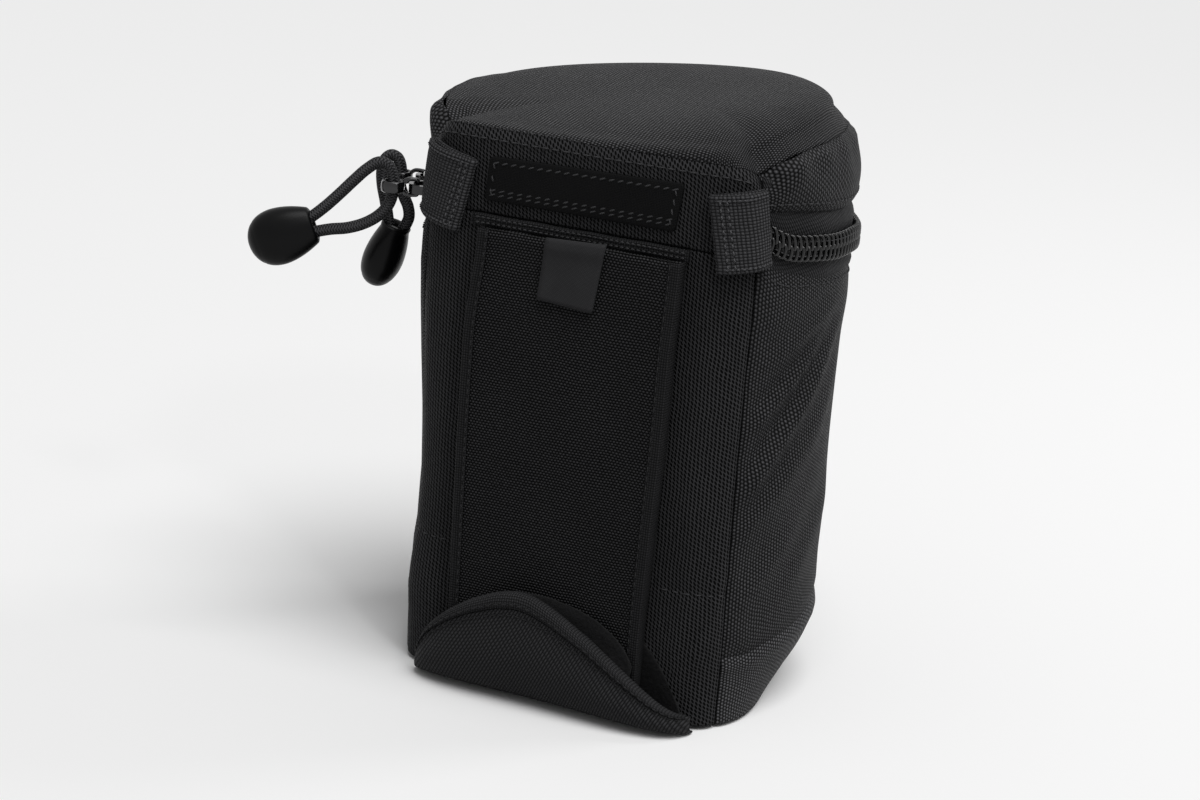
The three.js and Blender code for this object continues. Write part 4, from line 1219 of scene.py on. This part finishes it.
def crownPoint(s, share, drop=0.0, swell=1.0):
    # Lid top: rim at share 1, middle at 0. It sags behind the front seam and stands out over it.
    x, y, nx, ny = plan(s, crown["rimInset"] + pocketInset(s) + sideInset(s))
    low = seamLevel(s) + 0.1
    tall = np.clip(1 - share ** crown["power"], 0, 1) ** crown["round"]
    peak = crownPeak(x * share, y * share)
    front = 1 - smoothStep(40, 47, np.abs(s))
    bulge = swell * ((crown["shoulder"] + crown["sideDip"]) * front - crown["sideDip"]) * hill(share, 0.955, 0.035)
    sag = crown["sag"] * hill(share, 0.97, 0.025) * front
    z = low + (peak - low) * tall - drop
    return np.stack([x * share + nx * bulge, y * share + ny * bulge, z - sag], -1)


def lidCoverMesh():
    # Outer face from the rim to the middle and an inner face below it.
    s = wholeOutline(1.35)
    nx, ny = plan(s)[2:]
    outer, inner, cloth = [], [], []
    shares = np.concatenate([np.linspace(1, 0.985, 4), np.linspace(0.978, 0.86, 14), np.linspace(0.84, 0.06, 34)])
    for share in shares:
        top = crownPoint(s, np.full(len(s), share))
        fall = crownPeak(top[:, 0], top[:, 1]) - top[:, 2]
        cloth.append(np.stack([top[:, 0] + nx * fall, top[:, 1] + ny * fall, top[:, 2] * 0], -1))
        tilt = smoothStep(0.9, 1.0, share)
        outer.append(top)
        inner.append(top - np.stack([nx * crown["thickness"] * tilt, ny * crown["thickness"] * tilt,
                                     np.full(len(s), crown["thickness"] * (1 - tilt))], -1))
    return sweep("lidCover", np.array(inner[::-1] + outer), "lid", "top",
                 np.array(cloth[::-1] + cloth), stands=["lid_cover"])


lidCover = lidCoverMesh()


def lidPaddingMesh():
    # Foam up the lid's wall and under its crown.
    s = wholeOutline(2.4)
    lower = discRings([(12, 148.8, 0.3), (7.2, 148.9, 1), (7.1, 148, 1), (7.1, 132.0, 1), (6.4, 131.4, 1),
                       (4.2, 131.4, 1), (3.5, 132.0, 1), (3.5, 143.6, 1), (3.4, 145.0, 1), (3.8, 146.0, 1)], s)
    upper = []
    for share in (0.93, 0.9, 0.84, 0.72, 0.5, 0.25):
        top = crownPoint(s, np.full(len(s), share), crown["foamDrop"], 0.0)
        top[:, 2] = np.maximum(top[:, 2], crown["foamFloor"])
        upper.append(top)
    rings = np.concatenate([lower, np.array(upper)])
    return sweep("lidPadding", rings, "lid", "foam", rings, stands=["lid_padding"])


lidPadding = lidPaddingMesh()
stackOfRings("lidLining", [
    (8.2, 148.0, 0.3), (8.2, 148.05, 0.8), (8.6, 147.9, 0.97), (8.2, 146.6, 1), (8.2, 132, 1), (7.8, 131.5, 1),
    (7.4, 132, 1), (7.4, 147, 1), (8.0, 148.6, 0.985), (8.2, 148.75, 0.8), (8.2, 148.75, 0.3),
], "lid", "lining", ["lid_lining"])

# Label on the lid's front; its corners are moved from a true rectangle.
label = {
    "half": 27.22,
    "low": 131.35,
    "high": 143.65,
    "corner": 1.2,
    "face": -47.45,
    "thickness": 0.9,
    "puff": 0.12,
    "moves": ((0.3, -0.4), (0.5, 0.8), (-0.5, 0.3), (-1.2, 0.5)),
    "sewing": {"width": 0.5, "slant": 0.35, "lift": 0.05},
    # How far in from the edges the rows of thread lie, and where they start and end.
    "rowIn": 1.7,
    "secondRow": 2.9,
    "rowEnds": (1.6, 2.0),
}
labelBox = (-label["half"], label["half"], label["low"], label["high"])


def roundedRect(half, low, high, corner, step=1.5):
    points = []
    for cx, cz, start in ((half - corner, high - corner, 0), (-half + corner, high - corner, 90),
                          (-half + corner, low + corner, 180), (half - corner, low + corner, 270)):
        for a in np.linspace(start, start + 90, 6):
            points.append((cx + corner * math.cos(math.radians(a)), cz + corner * math.sin(math.radians(a))))
    dense = []
    for p, q in zip(points, points[1:] + points[:1]):
        count = max(1, int(math.hypot(q[0] - p[0], q[1] - p[1]) / step))
        dense += [(p[0] + (q[0] - p[0]) * i / count, p[1] + (q[1] - p[1]) * i / count) for i in range(count)]
    return np.array(dense)


def skewed(x, z, box, corners):
    # Moves a point by a blend of how far the box's corners move: top left, top right, and below.
    u = (np.asarray(x, float) - box[0]) / (box[1] - box[0])
    v = (np.asarray(z, float) - box[2]) / (box[3] - box[2])
    shares = ((1 - u) * v, u * v, (1 - u) * (1 - v), u * (1 - v))
    return (x + sum(w * c[0] for w, c in zip(shares, corners)),
            z + sum(w * c[1] for w, c in zip(shares, corners)))


def onPanelPlate(name, outline, face, thickness, body, finish, stands, puff=0.0):
    # Sheet on the panel whose front face is a grid of shrunken outlines, so it can swell a little.
    outline = np.asarray(outline, float)
    middle, size = outline.mean(0), np.ptp(outline, axis=0)

    def grown(share, y):
        spots = middle + (outline - middle) * share
        return np.stack([spots[:, 0], np.full(len(spots), y), spots[:, 1]], -1)
    rings = [grown(0.3, face + thickness)]
    for depth, pull in ((thickness, 0.0), (0.3, 0.0), (0.1, 0.12), (0.0, 0.35)):
        rings.append(grown(1 - 2 * pull / size, face + depth))
    for share in (0.9, 0.7, 0.45, 0.2, 0.05):
        rings.append(grown(share * (1 - 0.7 / size), face - puff * (1 - share ** 4)))
    rings = np.array(rings)
    return sweep(name, rings, body, finish, rings[..., [0, 2, 1]], stands=stands)


labelOutline = roundedRect(label["half"], label["low"], label["high"], label["corner"])
labelOutline = np.stack(skewed(labelOutline[:, 0], labelOutline[:, 1], labelBox, label["moves"]), -1)
onPanelPlate("labelPatch", labelOutline, label["face"], label["thickness"], "lid", "label",
             ["label_patch"], label["puff"])


def lineOnPanel(x0, z0, x1, z1, y):
    t = np.linspace(0, 1, 40)
    return np.stack([x0 + (x1 - x0) * t, np.full(40, y), z0 + (z1 - z0) * t], -1)


def labelRow(x0, z0, x1, z1, pitch, length):
    line = lineOnPanel(x0, z0, x1, z1, label["face"])
    line[:, 0], line[:, 2] = skewed(line[:, 0], line[:, 2], labelBox, label["moves"])
    labelThread.run(line, (0, -1, 0), pitch=pitch, length=length, **label["sewing"])


endX, endZ = label["half"] - label["rowEnds"][0], label["rowEnds"][1]
for z in (label["high"] - label["rowIn"], label["low"] + label["rowIn"], label["low"] + label["secondRow"]):
    labelRow(-endX, z, endX, z, 2.5, 2.1)
for x in (-label["half"] + label["rowIn"], label["half"] - label["rowIn"]):
    labelRow(x, label["low"] + endZ, x, label["high"] - endZ, 2.4, 1.9)

loops = {
    # Where the webbing is sewn in, where its fold lies, how far it stands out and how it leans.
    "right": {"root": 49.2, "tip": 36.4, "rootZ": 135.3, "lean": 9.0, "stand": 4.3, "open": 0.5, "swell": 0.3},
    "left": {"root": 46.8, "tip": 31.7, "rootZ": 135.2, "lean": 12.5, "stand": 3.2, "open": 0.75, "swell": 1.0},
    "width": 20.0,
    "thickness": 1.2,
    "seat": 0.35,
    "steps": 16,
    "crumpleTo": 145.0,
    "crumple": 0.74,
    # Fuller selvedge and the hollow beside it: how much, how far from the edge, over what width.
    "selvedge": (0.16, 1.3, 0.5),
    "hollow": (0.12, 2.4, 0.4),
    # Thread: places back from the fold and out from the middle, half a row's length, both kinds.
    "rowsBack": (0.6, 2.0),
    "rowsOut": 8.7,
    "rowHalf": 8.6,
    "acrossRow": {"pitch": 1.75, "length": 1.3, "width": 0.62, "lift": 0.0},
    "selvedgeRow": {"pitch": 1.3, "length": 1.0, "width": 0.5, "lift": 0.0},
}


def crumpled(piece):
    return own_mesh(piece)


def loopLine(how):
    # Middle line of the webbing from its outer end over the fold to its inner end: [along, out].
    thick, seat = loops["thickness"], loops["seat"]
    closed, radius = seat + 1.5 * thick + 0.1, (how["stand"] - seat) / 2 - thick / 2
    top = seat + thick / 2 + 2 * radius
    reach = how["root"] - how["tip"] - radius - thick / 2
    outer, inner = [], []
    for share in np.linspace(0, 1, loops["steps"]):
        t = min(1.0, share / how["open"])
        swell = how["swell"] * math.sin(math.pi * share ** 0.7)
        outer.append((share * reach, closed + (top - closed) * t * t * (3 - 2 * t) + swell))
        inner.append((share * reach, seat + thick / 2))
    bend = [(reach + radius * math.cos(a), seat + thick / 2 + radius + radius * math.sin(a))
            for a in np.linspace(math.pi / 2, -math.pi / 2, 13)[1:-1]]
    return np.array(outer + bend + inner[::-1])


def webbingSection():
    # Flat woven strip with a fuller selvedge along both edges, as [depth, across].
    half, thick, round_ = loops["width"] / 2, loops["thickness"] / 2, 0.35

    def rib(z):
        edge = half - abs(z)
        full, dip = (size * math.exp(-((edge - at) / width) ** 2)
                     for size, at, width in (loops["selvedge"], loops["hollow"]))
        return full - dip
    across = np.linspace(-half + 0.4, half - 0.4, 27)
    front = [(thick + rib(z), z) for z in across]
    back = [(-thick, z) for z in across[::-1]]
    return (front + [(round_, half - 0.05), (-round_, half - 0.05)] + back
            + [(-round_, -half + 0.05), (round_, -half + 0.05)])


def loopSpot(side, how, along, out, across):
    lean = math.radians(how["lean"])
    s = side * (how["root"] - along * math.cos(lean) - across * math.sin(lean))
    z = how["rootZ"] - along * math.sin(lean) + across * math.cos(lean)
    return wallPoint(np.array([s]), np.array([z]), -np.array([out]))[0]


def webbingLoop(side, name, how, stands):
    line = loopLine(how)
    section = webbingSection()
    rings, cloth = [], []
    for (along, out), (ahead, off), run in zip(line, unitRows(np.gradient(line, axis=0)), runsAlong(line)):
        rings.append([loopSpot(side, how, along - off * n, out + ahead * n, z) for n, z in section])
        cloth.append([(run, z, n) for n, z in section])
    return sweep(name, rings, "lid", "webbing", cloth, stands=stands)


def loopSewing(side, how):
    # Rows of thread across the webbing by its fold, and one along each selvedge.
    face = [(a, b + loops["thickness"] / 2 + 0.12) for a, b in loopLine(how)[:loops["steps"]]]
    for back in loops["rowsBack"]:
        along = face[-1][0] - back
        out = float(fromTable(along, face))
        path = [loopSpot(side, how, along, out, z) for z in np.linspace(-loops["rowHalf"], loops["rowHalf"], 24)]
        loopThread.run(path, outwardAt(side * (how["root"] - along)), **loops["acrossRow"])
    for across in (-loops["rowsOut"], loops["rowsOut"]):
        path = [loopSpot(side, how, a, b + 0.1, across) for a, b in face]
        loopThread.run(path, outwardAt(side * (how["root"] + how["tip"]) / 2), **loops["selvedgeRow"])


for side, word in ((1, "right"), (-1, "left")):
    crumpled(webbingLoop(side, word + "Loop", loops[word], ["webbing_loop_" + word]))
    loopSewing(side, loops[word])
print("pouch: lid made")

foldWeb = {"reach": 42.0, "low": 119.5, "high": 136.5, "inset": 1.2, "thickness": 0.6, "bend": (126.2, 129.8)}


def makeFoldWeb():
    # Tape behind the fold that joins the lid to the belt panel, unseen while the lid is shut.
    section = foldedSection(foldWeb["low"], foldWeb["high"], foldWeb["thickness"], 0.8, 0.25)
    section[:, 0] += foldWeb["inset"]
    web = clothBand("foldWeb", stations(-foldWeb["reach"], foldWeb["reach"], 1.5), section, level,
                    None, "binding")
    low, high = foldWeb["bend"]
    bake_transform(web)


makeFoldWeb()

ridge = {
    "half": 30.5,
    "middle": (-47.3, 126.4),
    "thick": 0.62,
    "tall": 1.6,
    "power": 3.4,
    "rows": (125.75, 127.1),
    "rowHalf": 29.5,
    "rowFace": -47.86,
}


def foldRidge():
    # Flat folded hem over the tab's top, with a row of thread along each edge.
    y, z = ridge["middle"]
    section = [(y + ridge["thick"] * c, z + ridge["tall"] * d)
               for c, d in (superOval(a, ridge["power"]) for a in roundTurn(20))]
    xs = stations(-ridge["half"], ridge["half"], 1.2)
    rings = [[(x, a, b + 0.12 * math.sin(x * 0.4)) for a, b in section] for x in xs]
    cloth = [[(x, k * 0.5, 0) for k in range(len(section))] for x in xs]
    sweep("foldRidge", rings, "body", "tabEdge", cloth, stands=["fold_ridge"])
    for row in ridge["rows"]:
        bodyThread.run(lineOnPanel(-ridge["rowHalf"], row, ridge["rowHalf"], row, ridge["rowFace"]), (0, -1, 0),
                       pitch=1.5, length=1.25, width=0.5, lift=0.04)


foldRidge()

tab = {
    "halfWidth": 29.2,
    "low": 8.0,
    "top": 125.0,
    "back": -47.9,
    "front": -51.1,
    "layer": 0.9,
    "fold": 1.6,
    "edge": 3.2,
    "bow": 0.7,
    "cup": 0.35,
    # How its middle moves and how much it narrows, at the sewn top and behind the flap.
    "topMove": (1.5, 0.7),
    "footMove": (0.75, 1.35),
}


def tabFace(x, z):
    # The tab bows out a little between its sewn top and the flap.
    up = (z - tab["low"]) / (tab["top"] - tab["low"])
    bow = tab["bow"] * math.sin(math.pi * min(1, max(0, up))) ** 0.9
    cup = tab["cup"] * (1 - (x / tab["halfWidth"]) ** 2)
    return bow + cup * 0.6


def tabX(x, z):
    # The tab is sewn on a little narrower than it is wide, and narrows again behind the flap.
    share = x / tab["halfWidth"]
    high, low = 1 - smoothStep(0, 30, tab["top"] - z), 1 - smoothStep(15, 90, z)
    (topMove, topNarrow), (footMove, footNarrow) = tab["topMove"], tab["footMove"]
    return float(x + (topMove - topNarrow * share) * high - (footMove + footNarrow * share) * low)


def tabSheet():
    # One sheet folded round its lower end, drawn as a hairpin at each place across the tab.
    half, foot, layer = tab["halfWidth"] - 0.5, tab["low"] + tab["fold"], tab["layer"]
    radius, middle = (tab["back"] - tab["front"]) / 2, (tab["back"] + tab["front"]) / 2
    zs = stations(foot, tab["top"], 1.6)

    def turn(r, start, end, count):
        return [(middle - r * math.cos(a), foot - r * math.sin(a), tab["low"] - a)
                for a in np.linspace(start, end, count)[1:-1]]
    rings, cloth = [], []
    for x in stations(-half, half, 1.6):
        # Each part is its points as [y, z, place along the cloth] and its layer.
        parts = [
            ([(tab["front"] - tabFace(x, z), z, z) for z in zs], 0),
            ([(tab["front"] + layer - tabFace(x, z), z, z) for z in zs[::-1]], 0.9),
            (turn(radius - layer, 0, math.pi, 7), 0.9),
            ([(tab["back"] - layer, z, z) for z in zs], 2),
            ([(tab["back"], z, z) for z in zs[::-1]], 3),
            (turn(radius, math.pi, 0, 9), 0),
        ]
        rings.append([(tabX(x, z), y, z) for spots, mark in parts for y, z, run in spots])
        cloth.append([(x, run, mark) for spots, mark in parts for y, z, run in spots])
    return sweep("beltTab", rings, "tab", "tab", cloth, stands=["belt_tab"])


def tabEdge(side, name, stands):
    # Ribbed tape folded over the tab's side.
    lip, edge = tab["halfWidth"] - tab["edge"], tab["halfWidth"]
    f, b = tab["front"] - 0.15, tab["back"] + 0.15
    face = [(lip, 0.05), (lip + 0.25, -0.2), (lip + 0.7, -0.3), (lip + 1.1, -0.16), (lip + 1.5, -0.3),
            (lip + 1.9, -0.16), (lip + 2.3, -0.3), (edge - 0.4, -0.26), (edge, 0.0)]
    behind = [(edge, 0.1), (edge - 0.5, 0.45), (lip, 0.45), (lip, 0.05), (edge - 0.45, -0.05)]
    rings, cloth = [], []
    for z in stations(tab["low"] + 1.7, tab["top"], 1.3):
        ring = [(x, f + d - tabFace(x, z)) for x, d in face]
        ring += [(edge + 0.12, (f + b) / 2 - tabFace(edge, z) / 2)]
        ring += [(x, b + d) for x, d in behind]
        ring += [(edge - 0.45, f + 0.1 - tabFace(edge, z))]
        ring = [(tabX(side * x, z), y, z) for x, y in ring]
        rings.append(ring)
        cloth.append([(run, z, 0) for run in runsAlong(np.array(ring))])
    return sweep(name, rings, "tab", "tabEdge", cloth, stands=stands)


def tabSewing(side):
    x = side * (tab["halfWidth"] - tab["edge"] + 0.55)
    path = [(tabX(x, z), tab["front"] - 0.42 - tabFace(x, z), z)
            for z in np.linspace(tab["low"] + 4, tab["top"] - 1, 80)]
    tabThread.run(path, (0, -1, 0), pitch=2.6, length=1.9, width=0.42, lift=0.03)


tabSheet()
tabEdge(1, "rightTabEdge", ["tab_edge_right"])
tabEdge(-1, "leftTabEdge", ["tab_edge_left"])
tabSewing(-1)
tabSewing(1)

tag = {
    "half": 8.6,
    "low": 107.4,
    "top": 125.0,
    "thickness": 0.6,
    "moves": ((1.4, 0.8), (1.1, 1.6), (0.3, 2.2), (-1.1, 1.1)),
    "fold": 0.45,
    "lift": 0.5,
}


def sizeTag():
    # Folded tape tag, left bare: its top turns over a small roll and its foot lifts a little.
    box = (-tag["half"], tag["half"], tag["low"], tag["top"])
    zs = stations(tag["low"], tag["top"], 1.1)

    def spot(x, z, depth):
        fold = tag["fold"] * math.exp(-((z - tag["top"] + 2.6) / 1.5) ** 2)
        lift = tag["lift"] * (1 - (z - tag["low"]) / (tag["top"] - tag["low"])) ** 2
        a, c = skewed(x, z, box, tag["moves"])
        return float(a), tab["front"] - 0.2 - tabFace(x, z) - fold - lift - depth, float(c)
    rings, cloth = [], []
    for x in stations(-tag["half"], tag["half"], 1.4):
        rings.append([spot(x, z, tag["thickness"]) for z in zs] + [spot(x, z, 0) for z in zs[::-1]])
        cloth.append([(x, z, 0) for z in zs] + [(x, z, 1) for z in zs[::-1]])
    return sweep("sizeTag", rings, "tab", "tag", cloth, stands=["size_tag"])


sizeTag()

stiffener = {"inset": 1.6, "low": 2.6, "high": 0.2, "front": -49.9, "back": -49.1}


def tabStiffener():
    # Plastic sheet between the tab's two layers, narrowing as they do.
    half = tab["halfWidth"] - stiffener["inset"]
    corners = [(-half, "front"), (half, "front"), (half, "back"), (-half, "back")]
    rings = [[(tabX(x, z), stiffener[face], z) for x, face in corners]
             for z in stations(tab["low"] + stiffener["low"], tab["top"] - stiffener["high"], 3)]
    cloth = np.zeros((len(rings), len(corners), 3))
    return sweep("tabStiffener", rings, "tab", "stiffener", cloth, stands=["tab_stiffener"],
                 smooth=False)


tabStiffener()
print("pouch: tab made")

flap = {
    "half": 41.0,
    "middle": 2.0,
    "hingeY": -47.0,
    "hingeZ": 0.5,
    "thickness": 2.1,
    "height": 27.0,
    # The face's profile as [forward, up]; the rim carries on from its end.
    "face": [(-0.3, 0.0), (2.4, 0.0), (4.8, 0.35), (7.4, 1.4), (9.8, 3.3), (11.6, 6.2), (12.65, 9.6), (13.0, 13.2),
             (12.75, 17.0), (12.28, 20.52), (11.85, 23.8), (11.4, 27.0)],
    "rimLean": 11.4,
    "rimTop": 1.1,
    "wrap": 2.9,
    # Height of the rim across, and of the hook layer's edge behind it.
    "crest": [(-39, 1.2), (-38, 6.0), (-35.6, 11.4), (-32.4, 16.3), (-26.3, 22.0), (-19.3, 26.8), (-11.3, 30.6),
              (-5.5, 31.9), (-1.5, 31.5), (4.8, 29.0), (15.3, 23.2), (25.4, 16.2), (35.2, 9.2), (39.2, 7.0),
              (42.0, 6.2), (43, 5.9)],
    "hookCrest": [(-30, 15.0), (-26.8, 20.5), (-20.5, 25.2), (-14.7, 28.1), (-6.8, 30.3), (1.4, 30.7), (9.4, 29.4),
                  (15.6, 27.5), (20.5, 24.5), (24.5, 21.0), (27.5, 15.0)],
    "hookTop": 28.6,
    "hookEnd": [(7.9, 22.5), (7.3, 25.5), (7.0, 28.6)],
    "hookLayer": 0.9,
    # Where the hook layer starts and ends across, its lowest height, and where its end takes over.
    "hookSpan": (-29, 26.5),
    "hookLow": 4.5,
    "hookTurn": 20,
    # Rows of thread: height, how far out of the face, share of the flap's width, width, lift.
    "rows": [(25.5, 0.95, 0.955, 0.42, 0.05), (22.6, 0.18, 0.95, 0.4, 0.03)],
}


def smoothTable(table, spread=1.6):
    # Rounds the corners off a table of heights.
    table = np.asarray(table, float)
    xs = np.linspace(table[0, 0], table[-1, 0], 400)
    zs = np.interp(xs, table[:, 0], table[:, 1])
    step = xs[1] - xs[0]
    reach = int(3 * spread / step)
    weights = np.exp(-(np.arange(-reach, reach + 1) * step / spread) ** 2)
    padded = np.concatenate([2 * zs[0] - zs[1:reach + 1][::-1], zs, 2 * zs[-1] - zs[-reach - 1:-1][::-1]])
    return xs, np.convolve(padded, weights / weights.sum(), "valid")


rimCrest = smoothTable(flap["crest"])
hookCrest = smoothTable(flap["hookCrest"])


def flapScale(x):
    # How far forward and how tall the flap's profile is at x.
    t = (x - flap["middle"]) / flap["half"]
    forward = max(0.0, 1 - t ** 4) ** 0.45
    tall = (float(np.interp(x, *rimCrest)) - flap["hingeZ"]) / (flap["height"] + flap["rimTop"])
    return forward, max(0.02, tall)


def inwards(line, depth):
    run = unitRows(np.gradient(np.asarray(line, float), axis=0))
    return line + np.stack([-run[:, 1], run[:, 0]], -1) * depth


def flapPlace(x, forward, up):
    reach, tall = flapScale(x)
    return (x, flap["hingeY"] - forward * reach, flap["hingeZ"] + up * tall)


def flapSwings(endShare, count):
    # Places across the flap, closer together towards its ends.
    swing = math.asin(endShare)
    return [flap["middle"] + flap["half"] * math.sin(a) for a in np.linspace(-swing, swing, count)]


def profileLine(points, perSpan):
    return throughPoints([(a, b, 0) for a, b in points], perSpan)[:, :2]


def flapSheet():
    outer = profileLine(flap["face"], 3)
    inner = inwards(outer, flap["thickness"])
    inner[:, 0] = np.maximum(inner[:, 0], flap["face"][0][0])
    inner[:, 1] = np.minimum(inner[:, 1], flap["height"])
    profile = np.concatenate([outer, inner[::-1]])
    runs = runsAlong(profile)
    rings, cloth = [], []
    for x in flapSwings(0.992, 84):
        rings.append([flapPlace(x, a, b) for a, b in profile])
        cloth.append([(x, r * flapScale(x)[1], 0) for r in runs])
    return sweep("bottomFlap", rings, "flap", "flap", cloth, stands=["bottom_flap"])


def flapRim():
    # Tape bound over the rim, in line with the flap's face.
    rim, wrap, lean = flap["height"], flap["wrap"], flap["rimLean"]
    inner, top = lean - flap["thickness"], rim + flap["rimTop"]
    section = np.array([
        (lean + wrap * 0.13 + 0.25, rim - wrap), (lean + wrap * 0.06 + 0.95, rim - wrap / 2), (lean + 0.9, rim),
        (lean + 0.55, rim + 0.75), (lean - 0.2, top), (inner + 0.2, top), (inner - 0.75, rim + 0.7),
        (inner - 1.05, rim - 0.2), (inner - 0.95 + wrap * 0.1, rim - wrap),
        (inner - 0.25 + wrap * 0.1, rim - wrap), (inner - 0.2, rim - 0.2), (lean - 0.1, rim - 0.2),
    ])
    runs = runsAlong(section)
    rings, cloth = [], []
    for x in flapSwings(0.975, 96):
        rings.append([flapPlace(x, a, b) for a, b in section])
        cloth.append([(x, r, 0) for r in runs])
    return sweep("flapBinding", rings, "flap", "binding", cloth, stands=["flap_binding"])


def flapRow(up, out, endShare, width, lift):
    face = np.asarray(flap["face"], float)
    forward = np.interp(up, face[:, 1], face[:, 0])
    path = [flapPlace(x, forward + out, up) for x in flapSwings(endShare, 120)]
    flapThread.run(path, (0, -1, 0.05), pitch=2.3, length=1.7, width=width, lift=lift)


def hookPatch():
    # Layer of hooks inside the flap; its edge keeps its own height and shows behind the rim.
    face = inwards(profileLine(flap["face"][3:], 3), flap["thickness"] + 0.6)
    face = face[(face[:, 1] > flap["hookLow"]) & (face[:, 1] < flap["hookTurn"])]
    face = np.vstack([face, flap["hookEnd"]])
    back = inwards(face, flap["hookLayer"])
    back[-1] = face[-1] + np.array([-flap["hookLayer"], 0.0])
    profile = np.concatenate([face, back[::-1]])
    rings = []
    for x in np.linspace(*flap["hookSpan"], 60):
        reach = flapScale(x)[0]
        own = (float(np.interp(x, *hookCrest)) - flap["hingeZ"]) / flap["hookTop"]
        rings.append([(x, flap["hingeY"] - a * reach, flap["hingeZ"] + b * own) for a, b in profile])
    return sweep("hookPatch", rings, "flap", "hook", np.array(rings), stands=["flap_hook_patch"])


landing = {
    # Right half of the patch's outline on the panel, down to its middle line.
    "right": [(39.2, 3.2), (37.6, 7.0), (33.8, 13.3), (28.8, 19.6), (22, 24.6), (13, 28.0), (2.0, 29.3)],
    "face": -47.2,
    "thickness": 0.8,
}


def landingPatch():
    middle, low = landing["right"][-1][0], landing["right"][0][1]
    outline = landing["right"] + [(middle - (x - middle), z) for x, z in landing["right"][-2::-1]]
    curve = profileLine(outline, 7)
    base = [(x, low) for x in np.linspace(curve[-1, 0], curve[0, 0], 42)[1:-1]]
    return onPanelPlate("landingPatch", np.vstack([curve, base]), landing["face"], landing["thickness"],
                        "body", "hook", ["landing_patch"])


flapSheet()
flapRim()
for row in flap["rows"]:
    flapRow(*row)
hookPatch()
landingPatch()
print("pouch: flap made")

# Rows of thread beside the seams.
seamRow = {"pitch": 2.6, "length": 1.9, "width": 0.42, "lift": 0.12}
frontRow = {"pitch": 2.9, "length": 2.2, "width": 0.45, "lift": 0.12}
panelRow = {"pitch": 2.6, "length": 2.0, "width": 0.4, "lift": 0.05}

wallRun(bodyThread, seamS + 2, farSeamS - 2, case["wrapTop"] - 3.2, wrapShape, rise=wrapRise, **seamRow)
wallRun(lidThread, seamS + 2, farSeamS - 2, case["wallLow"] + 2.0, lidWallShape, rise=lidWallRise, **seamRow)
wallRun(lidThread, -seamS + 4, seamS - 4, case["lidSeam"] - 2.8, lidFrontShape, rise=lidFrontRise, **frontRow)
for side in (-1, 1):
    wallRun(bodyThread, side * 30.5, side * (seamS - 1.5), 37.4, panelShape, **panelRow)
for thread in (bodyThread, lidThread, labelThread, tabThread, flapThread):
    thread.make()
crumpled(loopThread.make())
print("pouch: sewing made")

studio = {
    # Brightness of the floor and the room to the camera and on the pouch, and the sun; in metres.
    "floorSeen": 0.97,
    "floorLit": 0.35,
    "floorReach": 7.0,
    "roomSeen": 0.95,
    "roomLit": 0.34,
    "sun": 1.95,
    "sunFrom": (0.36, -0.2, 1.0),
    "sunAngle": 40.0,
    "lamps": [
        # name, place, aimed at, size, power
        ("backSoftbox", (0.5, 0.5, 0.7), (0, 0, 0.1), 0.2, 1.0),
        ("frontSoftbox", (0.65, -0.6, 0.75), (0, 0, 0.09), 0.1, 0.75),
    ],
}


def seenShare(sheet):
    # 1 for what the camera sees, also in a gloss or through glass, and 0 for the light on the pouch.
    share = sheet.node("ShaderNodeLightPath", output="Is Camera Ray")
    rays = share.socket.node.outputs
    for kind in ("Is Glossy Ray", "Is Transmission Ray"):
        share = sheet.maths("MAXIMUM", share, Wire(sheet, rays[kind]))
    return share


def floorPaper():
    sheet = Finish("floorPaper")
    mix = sheet.node("ShaderNodeMixShader", {}, {
        0: seenShare(sheet),
        1: sheet.node("ShaderNodeBsdfDiffuse", {}, {0: (studio["floorLit"],) * 3 + (1,)}),
        2: sheet.node("ShaderNodeBsdfDiffuse", {}, {0: (studio["floorSeen"],) * 3 + (1,)}),
    })
    sheet.node("ShaderNodeOutputMaterial", {}, {0: mix})
    return sheet.owner


def addFloor():
    reach = studio["floorReach"]
    data = bpy.data.meshes.new("paleFloor")
    data.from_pydata([(-reach, -reach, 0), (reach, -reach, 0), (reach, reach, 0), (-reach, reach, 0)],
                     [], [(0, 1, 2, 3)])
    data.materials.append(floorPaper())
    piece = bpy.data.objects.new("paleFloor", data)
    bpy.context.scene.collection.objects.link(piece)


def addRoom():
    room = Finish("paleRoom", bpy.data.worlds.new("paleRoom"))
    bright = room.node("ShaderNodeMapRange", {}, {0: seenShare(room), 3: studio["roomLit"], 4: studio["roomSeen"]})
    room.node("ShaderNodeOutputWorld", {}, {0: room.node("ShaderNodeBackground", {}, {1: bright})})
    bpy.context.scene.world = room.owner


def addLamp(name, kind, place, aim, **settings):
    data = bpy.data.lights.new(name, kind)
    for key, value in settings.items():
        setattr(data, key, value)
    lamp = bpy.data.objects.new(name, data)
    lamp.location = place
    lamp.rotation_mode = "QUATERNION"
    lamp.rotation_quaternion = (Vector(aim) - Vector(place)).to_track_quat("-Z", "Y")
    bpy.context.scene.collection.objects.link(lamp)


bpy.context.scene.view_settings.view_transform = "Standard"
addFloor()
addRoom()
addLamp("highSun", "SUN", (0, 0, 0), [-c for c in studio["sunFrom"]], energy=studio["sun"],
        angle=math.radians(studio["sunAngle"]))
for name, place, aim, size, power in studio["lamps"]:
    addLamp(name, "AREA", place, aim, shape="SQUARE", size=size, energy=power)
print("pouch: studio lit")

print("pouch: done")
